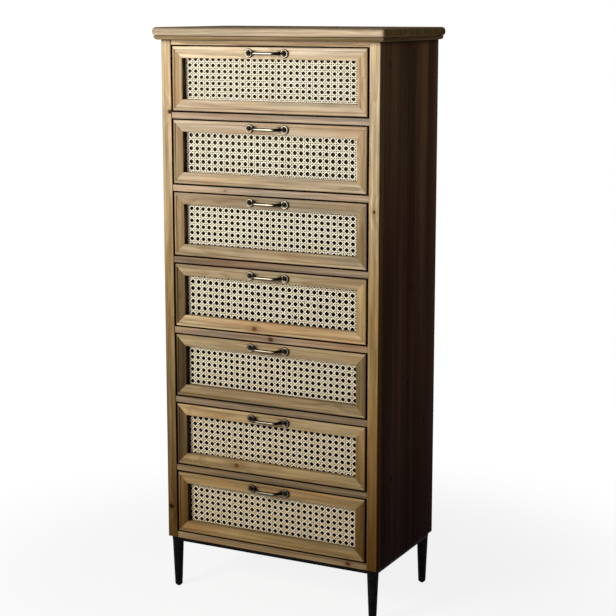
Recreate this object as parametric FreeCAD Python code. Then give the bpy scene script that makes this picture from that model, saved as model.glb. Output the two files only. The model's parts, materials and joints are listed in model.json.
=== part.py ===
import FreeCAD, Part
import math
import os

Vector = FreeCAD.Vector

# A tall narrow chest of seven drawers with caned fronts, on a steel base with turned legs.
# All sizes are in millimetres. X runs across the front, Y from front to back, Z up.
# The origin is on the floor, under the middle of the whole chest with its pulls.

# Case: two stiles and eight rails in front, two side panels, a bottom and a back
case_width = 495.0
case_depth = 288.0
stile_width = 23.0
stile_depth = 20.0
stile_edge_round = 3.0
rail_depth = 20.0
rail_setback = 1.5
divider_height = 13.0
bottom_rail_height = 13.5
top_rail_shown = 10.0
side_thickness = 16.0
case_bottom_thickness = 14.0
back_thickness = 5.0
back_lap = 8.0
back_fit = 0.5

# Top: a board with a rounded nose in front and at both ends, over a quarter-round moulding
top_thickness = 18.0
top_overhang = 15.0
top_nose_round = 8.0
top_corner_ease = 1.5
moulding_height = 7.5
moulding_reach = 11.0
moulding_lip = 0.5

# Base: a flat steel frame and four round legs that taper to the floor
base_bar_height = 8.0
base_bar_width = 26.0
base_inset = 3.0
leg_height = 106.0
leg_top_radius = 12.0
leg_foot_radius = 8.0
leg_foot_round = 3.5
leg_edge_margin = 0.5
leg_sides = 24
leg_foot_steps = 3
glide_height = 2.0
glide_radius = 4.0

# Drawers: inset fronts of mitred moulding around a cane panel, and a box behind
drawer_count = 7
opening_height = 137.0
front_gap = 3.0
front_proud = 1.0
front_thickness = 22.0
member_width = 23.5
border_width = 6.0
border_round = 2.5
border_step = 1.2
border_step_run = 0.6
bevel_drop = 4.0
inner_edge_round = 1.5
cane_depth = 16.0
cane_thickness = 2.0
cane_lap = 7.0
cane_fit = 0.5
cane_columns = 14
cane_rows = 3
cane_strand = 13.5

box_wall = 12.0
box_height = 112.0
box_lift = 10.0
box_side_clearance = 3.0
box_back_clearance = 15.0
floor_thickness = 5.0
floor_groove = 5.0
floor_lift = 8.0

# Runners: wooden strips on the side panels, which enter grooves in the drawer sides
runner_height = 12.0
runner_clearance = 0.3
runner_bite = 5.5
runner_groove = 6.0
runner_stop_gap = 1.0

# Pulls: cast bows on two round pads, each pad held by one round-headed screw
pull_pad_spacing = 80.0
pull_pad_radius = 8.5
pull_pad_thickness = 3.0
pull_pad_ease = 1.0
pull_post_radius = 5.0
pull_reach = 20.0
pull_bar_radius = 2.9
pull_bow_offset = 8.0
pull_leg_angle = 60.0
pull_bend_radius = 10.0
pull_flare_radius = 4.2
pull_flare_length = 14.0
screw_head_radius = 4.0
screw_crown_radius = 2.4
screw_head_height = 2.2

# Sides and steps of the pull's round sections
pad_sides = 16
bow_sides = 10
bend_steps = 3
pull_leg_steps = 2

# Places worked out from the sizes above
front_reach = max(top_overhang, front_proud + pull_reach)
case_front = front_reach - (case_depth + front_reach) / 2
case_back = case_front + case_depth
half_case = case_width / 2
half_opening = half_case - stile_width
half_inside = half_case - side_thickness

base_bottom = leg_height
case_foot = base_bottom + base_bar_height
first_opening = case_foot + bottom_rail_height
drawer_pitch = opening_height + divider_height
openings_top = first_opening + drawer_count * drawer_pitch - divider_height
top_underside = openings_top + top_rail_shown + moulding_height
back_front = case_back - back_thickness

face_y = case_front - front_proud
front_back = face_y + front_thickness
half_front = half_opening - front_gap
front_height = opening_height - 2 * front_gap
half_box = half_opening - box_side_clearance
box_front = front_back + box_wall
box_back = back_front - box_back_clearance
pad_y = face_y - pull_pad_thickness

leg_inset = base_inset + leg_top_radius + leg_edge_margin
base_corner_round = leg_top_radius + leg_edge_margin


def block(x0, x1, y0, y1, z0, z1):
    """Rectangular block between two corners."""
    return Part.makeBox(x1 - x0, y1 - y0, z1 - z0, Vector(x0, y0, z0))


def prism(points, direction):
    """Polygon through the points, pushed along a direction."""
    return Part.Face(Part.makePolygon(points + [points[0]])).extrude(direction)


def save(name, *solids):
    """One file for one named piece, or for one group of like pieces."""
    shape = solids[0] if len(solids) == 1 else Part.makeCompound(list(solids))
    shape.exportStep(f"parts/{name}.step")


def mirrored(solid):
    """The same piece on the other side of the chest."""
    return solid.mirror(Vector(0, 0, 0), Vector(1, 0, 0))


def opening_bottom(number):
    """Height of the rail under a drawer, counted from the top of the chest."""
    return first_opening + (drawer_count - number) * drawer_pitch


def upright_edges(solid, keep):
    """Vertical edges of a solid whose middle passes a test."""
    found = []
    for edge in solid.Edges:
        ends = [vertex.Point for vertex in edge.Vertexes]
        is_upright = len(ends) == 2 and (ends[0] - ends[1]).cross(Vector(0, 0, 1)).Length < 1e-6
        if is_upright and keep(edge.CenterOfMass):
            found.append(edge)
    return found


def make_stile():
    """Right stile, with its outer front edge eased."""
    stile = block(half_opening, half_case, case_front, case_front + stile_depth, case_foot, top_underside)
    front_corner = upright_edges(stile, lambda at: at.x > half_case - 1e-3 and at.y < case_front + 1e-3)
    ease = min(stile_edge_round, 0.45 * stile_width, 0.45 * stile_depth)
    return stile.makeFillet(ease, front_corner)


def make_side_panel():
    """Right side panel, rebated along its inner back edge for the back."""
    panel = block(half_inside, half_case, case_front + stile_depth, case_back, case_foot, top_underside)
    rebate = block(half_inside, half_inside + back_lap, back_front, case_back, case_foot, top_underside)
    return panel.cut(rebate)


def make_rail(bottom, height):
    """Rail across the front, from stile to stile."""
    front = case_front + rail_setback
    return block(-half_opening, half_opening, front, front + rail_depth, bottom, bottom + height)


def make_top_board():
    """Top board with a round nose along its front and its ends, square at the back."""
    half = half_case + top_overhang
    front = case_front - top_overhang
    top = top_underside + top_thickness
    nose = min(top_nose_round, 0.47 * top_thickness)
    board = block(-half, half, front, case_back, top_underside, top)
    corners = upright_edges(board, lambda at: at.y < front + 1e-3)
    board = board.makeFillet(nose + top_corner_ease, corners)
    outline = []
    for edge in board.Edges:
        at = edge.CenterOfMass
        is_level = edge.BoundBox.ZLength < 1e-6
        is_back = at.y > case_back - 1e-3
        if is_level and not is_back:
            outline.append(edge)
    return board.makeFillet(nose, outline)


def quarter_round_section(corner, outward):
    """Section of the moulding under the top: a thin lip at full reach, round down to the foot."""
    radius = moulding_height - moulding_lip
    foot = moulding_reach - radius
    bend = radius * math.sqrt(0.5)

    def at(out, down):
        return corner + outward * out - Vector(0, 0, down)

    swell = Part.Arc(at(moulding_reach, moulding_lip),
                     at(foot + bend, moulding_lip + bend),
                     at(foot, moulding_height))
    edges = [
        Part.makeLine(at(0, 0), at(moulding_reach, 0)),
        Part.makeLine(at(moulding_reach, 0), at(moulding_reach, moulding_lip)),
        swell.toShape(),
        Part.makeLine(at(foot, moulding_height), at(0, moulding_height)),
        Part.makeLine(at(0, moulding_height), at(0, 0)),
    ]
    return Part.Face(Part.Wire(edges))


def make_top_mouldings():
    """Three strips of moulding under the top, mitred at the two front corners."""
    outer = half_case + moulding_reach
    front = case_front - moulding_reach
    foot = top_underside - moulding_height
    up = Vector(0, 0, moulding_height)

    front_strip = quarter_round_section(Vector(-outer, case_front, top_underside), Vector(0, -1, 0))
    front_strip = front_strip.extrude(Vector(2 * outer, 0, 0))
    front_plan = [Vector(-outer, front, foot), Vector(outer, front, foot),
                  Vector(half_case, case_front, foot), Vector(-half_case, case_front, foot)]
    front_strip = front_strip.common(prism(front_plan, up))

    side_strip = quarter_round_section(Vector(half_case, front, top_underside), Vector(1, 0, 0))
    side_strip = side_strip.extrude(Vector(0, case_back - front, 0))
    side_plan = [Vector(outer, front, foot), Vector(outer, case_back, foot),
                 Vector(half_case, case_back, foot), Vector(half_case, case_front, foot)]
    side_strip = side_strip.common(prism(side_plan, up))
    return front_strip, side_strip, mirrored(side_strip)


def make_base_frame():
    """Four flat steel bars, mitred, with the outer corners rounded about the legs."""
    half = half_case - base_inset
    front = case_front + base_inset
    back = case_back - base_inset
    outline = block(-half, half, front, back, base_bottom, case_foot)
    outline = outline.makeFillet(base_corner_round, upright_edges(outline, lambda at: True))
    inner = base_bar_width
    middle = block(-half + inner, half - inner, front + inner, back - inner, base_bottom, case_foot)
    band = outline.cut(middle)
    corners = [(-half, front), (half, front), (half, back), (-half, back)]
    inside = [(-half + inner, front + inner), (half - inner, front + inner),
              (half - inner, back - inner), (-half + inner, back - inner)]
    bars = []
    for side in range(4):
        after = (side + 1) % 4
        plan = [corners[side], corners[after], inside[after], inside[side]]
        trapezium = [Vector(x, y, base_bottom) for x, y in plan]
        bars.append(band.common(prism(trapezium, Vector(0, 0, base_bar_height))))
    return bars


def leg_place(across, along):
    """Axis of a leg: across is -1 left or 1 right, along is -1 front or 1 back."""
    x = across * (half_case - leg_inset)
    y = case_front + leg_inset if along < 0 else case_back - leg_inset
    return x, y


def ring(centre, normal, radius, sides):
    """Corners of a regular polygon about a centre, the first of them level with it."""
    upright = Vector(0, 1, 0) if abs(normal.z) > 0.5 else Vector(0, 0, 1)
    level = normal.cross(upright).normalize()
    upward = level.cross(normal)
    points = []
    for corner in range(sides):
        turn = 2 * math.pi * corner / sides
        points.append(centre + level * (radius * math.cos(turn)) + upward * (radius * math.sin(turn)))
    return points


def flat_face(points):
    """Flat face inside a closed row of points."""
    return Part.Face(Part.makePolygon(points + [points[0]]))


def skin(rings):
    """Solid of flat faces through a row of rings with the same number of corners."""
    faces = [flat_face(rings[0]), flat_face(rings[-1])]
    for near, far in zip(rings, rings[1:]):
        for corner in range(len(near)):
            after = (corner + 1) % len(near)
            patch = [near[corner], near[after], far[after], far[corner]]
            lean = (patch[1] - patch[0]).cross(patch[3] - patch[0])
            if abs(lean.normalize().dot(patch[2] - patch[0])) < 1e-7:
                faces.append(flat_face(patch))
            else:
                faces.append(flat_face(patch[:3]))
                faces.append(flat_face([patch[2], patch[3], patch[0]]))
    return Part.Solid(Part.Shell(faces))


def turned(centre, axis, stations, sides):
    """Round piece along an axis, through stations of distance and radius."""
    return skin([ring(centre + axis * distance, axis, radius, sides) for distance, radius in stations])


def make_leg(across, along):
    """Round tapered leg with a rounded foot, standing on its glide."""
    x, y = leg_place(across, along)
    bend = min(leg_foot_round, 0.6 * leg_foot_radius)
    stations = []
    for step in range(leg_foot_steps + 1):
        turn = math.pi / 2 * step / leg_foot_steps
        stations.append((bend * (1 - math.cos(turn)), leg_foot_radius - bend * (1 - math.sin(turn))))
    stations.append((leg_height - glide_height, leg_top_radius))
    return turned(Vector(x, y, glide_height), Vector(0, 0, 1), stations, leg_sides)


def make_glide(across, along):
    """Small round glide under a leg."""
    x, y = leg_place(across, along)
    return Part.makeCylinder(glide_radius, glide_height, Vector(x, y, 0))


def moulding_section(corner, inward):
    """Section of a drawer front's moulding: rounded border, step, bevel, inner wall and cane rebate."""
    bevel_start = border_width + border_step_run
    bevel_end = border_step + bevel_drop
    bend = border_round * (1 - math.sqrt(0.5))
    rebate = member_width - cane_lap

    def at(across, deep):
        return corner + inward * across + Vector(0, deep, 0)

    outline = [
        at(border_round, 0), at(border_width, 0), at(bevel_start, border_step),
        at(member_width - inner_edge_round, bevel_end), at(member_width, bevel_end + inner_edge_round),
        at(member_width, cane_depth), at(rebate, cane_depth), at(rebate, front_thickness),
        at(0, front_thickness), at(0, border_round),
    ]
    edges = [Part.makeLine(a, b) for a, b in zip(outline, outline[1:])]
    edges.append(Part.Arc(at(0, border_round), at(bend, bend), at(border_round, 0)).toShape())
    return Part.Face(Part.Wire(edges))


def make_front_member(start, end, inward):
    """One side of a drawer front's frame between two outer corners, mitred at both ends."""
    run = end - start
    along = Vector(run).normalize()
    plan = [start, end, end + (inward - along) * member_width, start + (inward + along) * member_width]
    bar = moulding_section(start, inward).extrude(run)
    return bar.common(prism(plan, Vector(0, front_thickness, 0)))


def make_front_frame(bottom):
    """Four mitred members of a drawer front, the top one first."""
    low = bottom + front_gap
    high = low + front_height
    corners = [Vector(-half_front, face_y, high), Vector(half_front, face_y, high),
               Vector(half_front, face_y, low), Vector(-half_front, face_y, low)]
    inward = [Vector(0, 0, -1), Vector(-1, 0, 0), Vector(0, 0, 1), Vector(1, 0, 0)]
    members = []
    for side in range(4):
        members.append(make_front_member(corners[side], corners[(side + 1) % 4], inward[side]))
    return members


def square(x, y, z, width):
    """Closed outline of a square in a plane across Y."""
    half = width / 2
    points = [Vector(x - half, y, z - half), Vector(x + half, y, z - half),
              Vector(x + half, y, z + half), Vector(x - half, y, z + half)]
    return Part.makePolygon(points + [points[0]])


def make_cane(bottom):
    """Cane panel: one thin sheet with rows of holes between its strands, lapped behind the frame."""
    half_clear = half_front - member_width
    low = bottom + front_gap + member_width
    high = low + front_height - 2 * member_width
    lap = cane_lap - cane_fit
    y = face_y + cane_depth
    step_x = 2 * half_clear / cane_columns
    step_z = (high - low) / cane_rows
    edge = [Vector(-half_clear - lap, y, low - lap), Vector(half_clear + lap, y, low - lap),
            Vector(half_clear + lap, y, high + lap), Vector(-half_clear - lap, y, high + lap)]
    outlines = [Part.makePolygon(edge + [edge[0]])]
    for column in range(cane_columns):
        for row in range(cane_rows):
            x = -half_clear + (column + 0.5) * step_x
            z = low + (row + 0.5) * step_z
            outlines.append(square(x, y, z, min(step_x, step_z) - cane_strand))
    return Part.Face(outlines, "Part::FaceMakerBullseye").extrude(Vector(0, cane_thickness, 0))


def make_drawer_floor(bottom):
    """Drawer floor, let into grooves on all four walls."""
    low = bottom + box_lift + floor_lift
    half = half_box - box_wall + floor_groove
    return block(-half, half, box_front - floor_groove, box_back - box_wall + floor_groove,
                 low, low + floor_thickness)


def make_drawer_box(bottom):
    """Four walls of a drawer: front board, right side, left side and back, grooved for floor and runners."""
    low = bottom + box_lift
    high = low + box_height
    floor = make_drawer_floor(bottom)
    inner = half_box - box_wall
    front = block(-half_box, half_box, front_back, box_front, low, high).cut(floor)
    back = block(-inner, inner, box_back - box_wall, box_back, low, high).cut(floor)
    half_groove = runner_height / 2 + runner_clearance
    middle = (low + high) / 2
    groove = block(half_box - runner_groove, half_box, box_front, box_back,
                   middle - half_groove, middle + half_groove)
    side = block(inner, half_box, box_front, box_back, low, high).cut(groove).cut(floor)
    return front, side, mirrored(side), back


def make_runner(bottom):
    """Right runner of a drawer, from just behind its front board to the back of the case."""
    middle = bottom + box_lift + box_height / 2
    low = middle - runner_height / 2
    return block(half_box - runner_bite, half_inside, box_front + runner_stop_gap, back_front,
                 low, low + runner_height)


def make_bow(height):
    """Bar of a pull: straight in the middle, bent at both ends into legs that swell towards the pads."""
    lean = math.radians(pull_leg_angle)
    half_span = pull_pad_spacing / 2 - pull_bow_offset
    rise = pull_reach - pull_pad_thickness / 2 - pull_bar_radius
    bend = min(pull_bend_radius, 0.8 * rise / (1 - math.cos(lean)))
    leg = (rise - bend * (1 - math.cos(lean))) / math.sin(lean)
    bend_end = half_span - leg * math.cos(lean)
    half = []
    for step in range(bend_steps + 1):
        turn = lean * step / bend_steps
        x = bend_end - bend * (math.sin(lean) - math.sin(turn))
        half.append((x, bend * (1 - math.cos(turn)), turn, leg + bend * (lean - turn)))
    for step in range(1, pull_leg_steps + 1):
        run = leg * step / pull_leg_steps
        behind = rise - (leg - run) * math.sin(lean)
        half.append((bend_end + run * math.cos(lean), behind, lean, leg - run))
    stations = [(-x, behind, -turn, to_pad) for x, behind, turn, to_pad in reversed(half)] + half
    bar_y = pad_y + pull_pad_thickness / 2 - rise
    rings = []
    for x, behind, turn, to_pad in stations:
        swell = max(0, 1 - to_pad / pull_flare_length) ** 2
        radius = pull_bar_radius + (pull_flare_radius - pull_bar_radius) * swell
        along = Vector(math.cos(turn), math.sin(turn), 0)
        rings.append(ring(Vector(x, bar_y + behind, height), along, radius, bow_sides))
    return skin(rings)


def make_pull(bottom, top_member):
    """Bow on two round pads, on posts coped to the moulding, and the two screw heads."""
    height = bottom + front_gap + front_height - member_width / 2
    pad_centre = Vector(pull_pad_spacing / 2, pad_y, height)
    inward = Vector(0, 1, 0)
    ease = min(pull_pad_ease, 0.45 * pull_pad_thickness)
    pad_stations = [(0, pull_pad_radius - ease), (ease, pull_pad_radius),
                    (pull_pad_thickness, pull_pad_radius)]
    pad = turned(pad_centre, inward, pad_stations, pad_sides)
    post_end = pull_pad_thickness + border_step + bevel_drop + inner_edge_round
    post = turned(pad_centre, inward, [(ease, pull_post_radius), (post_end, pull_post_radius)], bow_sides)
    behind_face = block(-half_front, half_front, face_y, front_back,
                        height - member_width, height + member_width)
    pull = make_bow(height).cut(behind_face)
    for piece in (pad, post.cut(top_member)):
        pull = pull.fuse(piece).fuse(mirrored(piece))
    head_stations = [(0, screw_head_radius), (screw_head_height, screw_crown_radius)]
    head = turned(pad_centre, Vector(0, -1, 0), head_stations, bow_sides)
    return pull.removeSplitter(), head, mirrored(head)


def main():
    """Builds every piece of the chest and writes one file for each."""
    os.makedirs("parts", exist_ok=True)
    make_case()
    make_base()
    make_drawers()


def make_case():
    """Case, top, mouldings and runners."""
    stile = make_stile()
    save("stile_right", stile)
    save("stile_left", mirrored(stile))
    panel = make_side_panel()
    save("side_panel_right", panel)
    save("side_panel_left", mirrored(panel))
    save("top_rail", make_rail(openings_top, top_underside - openings_top))
    for number in range(1, drawer_count):
        save(f"divider_rail_{number}", make_rail(opening_bottom(number) - divider_height, divider_height))
    save("bottom_rail", make_rail(case_foot, bottom_rail_height))
    save("case_bottom", block(-half_inside, half_inside, case_front + rail_setback + rail_depth, back_front,
                              case_foot, case_foot + case_bottom_thickness))
    half_back = half_inside + back_lap - back_fit
    save("back_panel", block(-half_back, half_back, back_front, case_back, case_foot, top_underside))
    save("top_board", make_top_board())
    save("top_moulding", *make_top_mouldings())
    runners = [make_runner(opening_bottom(number)) for number in range(1, drawer_count + 1)]
    save("runners_right", *runners)
    save("runners_left", *[mirrored(runner) for runner in runners])


def make_base():
    """Steel frame, four legs and their glides."""
    save("base_frame", *make_base_frame())
    corners = {"front_left": (-1, -1), "front_right": (1, -1), "back_left": (-1, 1), "back_right": (1, 1)}
    for corner, place in corners.items():
        save(f"leg_{corner}", make_leg(*place))
    save("leg_glides", *[make_glide(*place) for place in corners.values()])


def make_drawers():
    """Seven like drawers, each with five named pieces."""
    lowest = opening_bottom(drawer_count)
    frame = make_front_frame(lowest)
    pieces = {
        "frame": frame,
        "cane": [make_cane(lowest)],
        "box": list(make_drawer_box(lowest)),
        "floor": [make_drawer_floor(lowest)],
        "pull": list(make_pull(lowest, frame[0])),
    }
    for number in range(1, drawer_count + 1):
        rise = Vector(0, 0, opening_bottom(number) - lowest)
        for name, solids in pieces.items():
            save(f"drawer_{number}_{name}", *[solid.translated(rise) for solid in solids])


if __name__ == "__main__":
    main()
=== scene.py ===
"""Looks of a tall chest of seven caned drawers: its woods, woven cane, pulls, base, stage and camera."""

import json
import logging
import math
import random
from dataclasses import dataclass, field, replace
from enum import Enum
from typing import Callable, Optional, Union

import bmesh
import bpy
from mathutils import Matrix, Vector

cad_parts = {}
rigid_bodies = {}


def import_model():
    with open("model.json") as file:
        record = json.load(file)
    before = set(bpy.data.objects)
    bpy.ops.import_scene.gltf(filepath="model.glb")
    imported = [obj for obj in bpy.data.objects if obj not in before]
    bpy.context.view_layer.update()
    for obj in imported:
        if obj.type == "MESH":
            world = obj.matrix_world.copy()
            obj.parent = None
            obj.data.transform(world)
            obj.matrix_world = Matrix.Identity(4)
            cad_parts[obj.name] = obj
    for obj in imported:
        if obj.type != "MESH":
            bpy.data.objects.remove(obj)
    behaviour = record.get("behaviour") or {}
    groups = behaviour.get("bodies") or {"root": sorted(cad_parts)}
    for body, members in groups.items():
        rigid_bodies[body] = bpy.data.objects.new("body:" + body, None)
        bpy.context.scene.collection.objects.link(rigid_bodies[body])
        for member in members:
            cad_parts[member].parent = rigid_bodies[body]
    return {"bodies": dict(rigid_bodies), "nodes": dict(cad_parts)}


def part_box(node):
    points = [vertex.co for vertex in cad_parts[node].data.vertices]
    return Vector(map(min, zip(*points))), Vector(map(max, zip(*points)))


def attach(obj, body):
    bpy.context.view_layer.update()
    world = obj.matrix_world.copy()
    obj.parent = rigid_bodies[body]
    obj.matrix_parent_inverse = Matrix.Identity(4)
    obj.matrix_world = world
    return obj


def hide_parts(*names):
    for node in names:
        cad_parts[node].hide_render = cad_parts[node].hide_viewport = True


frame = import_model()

LOG = logging.getLogger("chest")
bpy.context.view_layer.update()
MM = 0.001
WHITE = (1.0, 1.0, 1.0)
FORWARD = Vector((0, -1, 0))
BACKWARD = Vector((0, 1, 0))
UPWARD = Vector((0, 0, 1))

Colour = tuple[float, float, float]
Triple = tuple[float, float, float]
Pair = tuple[float, float]
Socket = bpy.types.NodeSocket
Solid = bmesh.types.BMesh
Value = Union[float, tuple, Socket]


class Axis(Enum):
    """Directions of the chest: across its front, from front to back, and up."""

    ACROSS = 0
    DEEP = 1
    UP = 2


class Run(Enum):
    """Ways that the strands of the cane run."""

    UPRIGHT = "upright"
    LEVEL = "level"
    RISING = "rising"
    FALLING = "falling"


class Shader:
    """Short calls for the nodes of one material, or of the world."""

    def __init__(self, owner: Union[bpy.types.Material, bpy.types.World]) -> None:
        """Starts without any nodes.

        Args:
            owner: Material or world that the nodes make up.
        """
        owner.use_nodes = True
        self.owner = owner
        self.nodes = owner.node_tree.nodes
        self.links = owner.node_tree.links
        self.nodes.clear()

    def add(self, kind: str, inputs: dict[Union[str, int], Value], **settings: object) -> bpy.types.Node:
        """Adds one node.

        Args:
            kind: Type of the node.
            inputs: Values or sockets for its inputs.
            **settings: Properties of the node.

        Returns:
            The new node.
        """
        node = self.nodes.new(kind)
        for name, setting in settings.items():
            setattr(node, name, setting)
        for name, value in inputs.items():
            if isinstance(value, Socket):
                self.links.new(value, node.inputs[name])
            else:
                node.inputs[name].default_value = value
        return node

    def place(self) -> Socket:
        """Point on the object, in metres."""
        return self.add("ShaderNodeTexCoord", {}).outputs["Object"]

    def outward(self) -> Socket:
        """Direction that the surface faces."""
        return self.add("ShaderNodeNewGeometry", {}).outputs["Normal"]

    def vector(self, name: str) -> Socket:
        """Vector that the mesh carries under a name."""
        return self.add("ShaderNodeAttribute", {}, attribute_name=name).outputs["Vector"]

    def number(self, name: str) -> Socket:
        """Number that the mesh carries under a name."""
        return self.add("ShaderNodeAttribute", {}, attribute_name=name).outputs["Fac"]

    def calc(self, operation: str, *values: Value) -> Socket:
        """Result of one sum."""
        return self.add("ShaderNodeMath", dict(enumerate(values)), operation=operation).outputs[0]

    def parts(self, vector: Socket) -> list[Socket]:
        """The three numbers of a vector."""
        return list(self.add("ShaderNodeSeparateXYZ", {0: vector}).outputs)

    def stretched(self, vector: Socket, scale: Triple) -> Socket:
        """A vector times a scale in each direction."""
        return self.add("ShaderNodeVectorMath", {0: vector, 1: scale}, operation="MULTIPLY").outputs[0]

    def length(self, vector: Socket) -> Socket:
        """Length of a vector."""
        return self.add("ShaderNodeVectorMath", {0: vector}, operation="LENGTH").outputs["Value"]

    def oval_distance(self, point: Socket, centre: Value, scale: Triple) -> Socket:
        """Distance of a point from a centre.

        Args:
            point: The point.
            centre: The centre.
            scale: How much the distance counts in each direction.

        Returns:
            The distance, in metres where the scale is 1.
        """
        off = self.add("ShaderNodeVectorMath", {0: point, 1: centre}, operation="SUBTRACT").outputs[0]
        return self.length(self.stretched(off, scale))

    def noise(self, vector: Socket, scale: Triple, detail: float) -> Socket:
        """Soft noise from 0 to 1 with its own scale in each direction."""
        inputs = {"Vector": self.stretched(vector, scale), "Scale": 1.0, "Detail": detail}
        return self.add("ShaderNodeTexNoise", inputs).outputs[0]

    def step(self, value: Value, low: float, high: float, first: float = 0.0, last: float = 1.0) -> Socket:
        """Smooth step from one value to another.

        Args:
            value: Number that is mapped.
            low: Number that gives the first value.
            high: Number that gives the last value.
            first: Result at low.
            last: Result at high.

        Returns:
            The mapped number.
        """
        inputs = {"Value": value, "From Min": low, "From Max": high, "To Min": first, "To Max": last}
        return self.add("ShaderNodeMapRange", inputs, interpolation_type="SMOOTHSTEP").outputs[0]

    def blend(self, share: Value, first: Value, second: Value, mode: str = "MIX") -> Socket:
        """Mix of two colours.

        Args:
            share: Share of the second colour.
            first: Colour at share 0.
            second: Colour at share 1.
            mode: How the second colour is laid over the first.

        Returns:
            The mixed colour.
        """
        inputs = {0: share, 6: as_rgba(first), 7: as_rgba(second)}
        return self.add("ShaderNodeMix", inputs, data_type="RGBA", blend_type=mode).outputs[2]

    def dimmed(self, colour: Value, tone: Value) -> Socket:
        """A colour times another."""
        return self.blend(1.0, colour, tone, "MULTIPLY")

    def grey(self, level: Socket) -> Socket:
        """A grey of a given level."""
        return self.add("ShaderNodeCombineColor", {0: level, 1: level, 2: level}).outputs[0]

    def bump(self, height: Socket, distance: float, strength: float) -> Socket:
        """Normal of a surface with small relief, its distance in metres."""
        inputs = {"Height": height, "Distance": distance, "Strength": strength}
        return self.add("ShaderNodeBump", inputs).outputs[0]

    def seen_plainly(self) -> Socket:
        """Tells the rays that see the white background from those that bring light.

        Returns:
            1 for rays from the camera, off a gloss or through glass, and 0 for all others.
        """
        rays = self.add("ShaderNodeLightPath", {}).outputs
        seen = self.calc("MAXIMUM", rays["Is Camera Ray"], rays["Is Glossy Ray"])
        return self.calc("MAXIMUM", seen, rays["Is Transmission Ray"])

    def finish(self, **inputs: Value) -> bpy.types.Material:
        """Ends the material with a surface.

        Args:
            **inputs: Inputs of the surface, with underscores for spaces.

        Returns:
            The finished material.
        """
        named = {name.replace("_", " "): value for name, value in inputs.items()}
        surface = self.add("ShaderNodeBsdfPrincipled", named)
        self.add("ShaderNodeOutputMaterial", {"Surface": surface.outputs[0]})
        return self.owner


def as_rgba(value: Value) -> Value:
    """Gives a colour its fourth number.

    Args:
        value: Colour, or the socket of one.

    Returns:
        The colour with four numbers, or the socket as it is.
    """
    if isinstance(value, tuple) and len(value) == 3:
        return (*value, 1.0)
    return value


def new_shader(name: str) -> Shader:
    """The empty nodes of a new material."""
    return Shader(bpy.data.materials.new(name))


# Repeats of the wood's figure in a metre, along the grain and across it both ways
FIBRES = (22.0, 760.0, 760.0)
WARM_PATCHES = (3.0, 24.0, 24.0)
GREY_PATCHES = (3.4, 34.0, 34.0)
RING_DRIFT = (1.9, 13.0, 13.0)

# Streaks along a metre for each streak across it, and places for a knot in a metre
STREAK_STRETCH = 0.03
KNOT_PLACES = 15.0

# Smooth steps of the wood's figure: from and to of what is read, and then from and to of what it gives,
# unless that is 0 to 1 or the finish has its own. Distances from a knot and heights are in metres
STREAK_SPAN = (0.30, 0.70)
FIBRE_STEP = (0.25, 0.75, 0.82, 1.12)
FIBRE_SPAN = (0.2, 0.8)
WARM_STEP = (0.44, 0.72, 0.0, 0.8)
GREY_STEP = (0.50, 0.74, 0.0, 0.65)
RING_RISE = (0.2, 0.86)
RING_FALL = (0.88, 1.0, 1.0, 0.0)
KNOT_HALO = (0.001, 0.013, 0.5, 0.0)
KNOT_HEART = (0.0016, 0.0040, 1.0, 0.0)
KNOT_SWIRL = (0.0, 0.030, 0.0045, 0.0)
LOWER_HALF = (0.08, 0.66)
UPPER_HALF = (0.60, 1.12)
SIDEWAYS = (0.35, 0.85)
UPWARDS = (0.45, 0.95, 0.0, 0.86)


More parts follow.
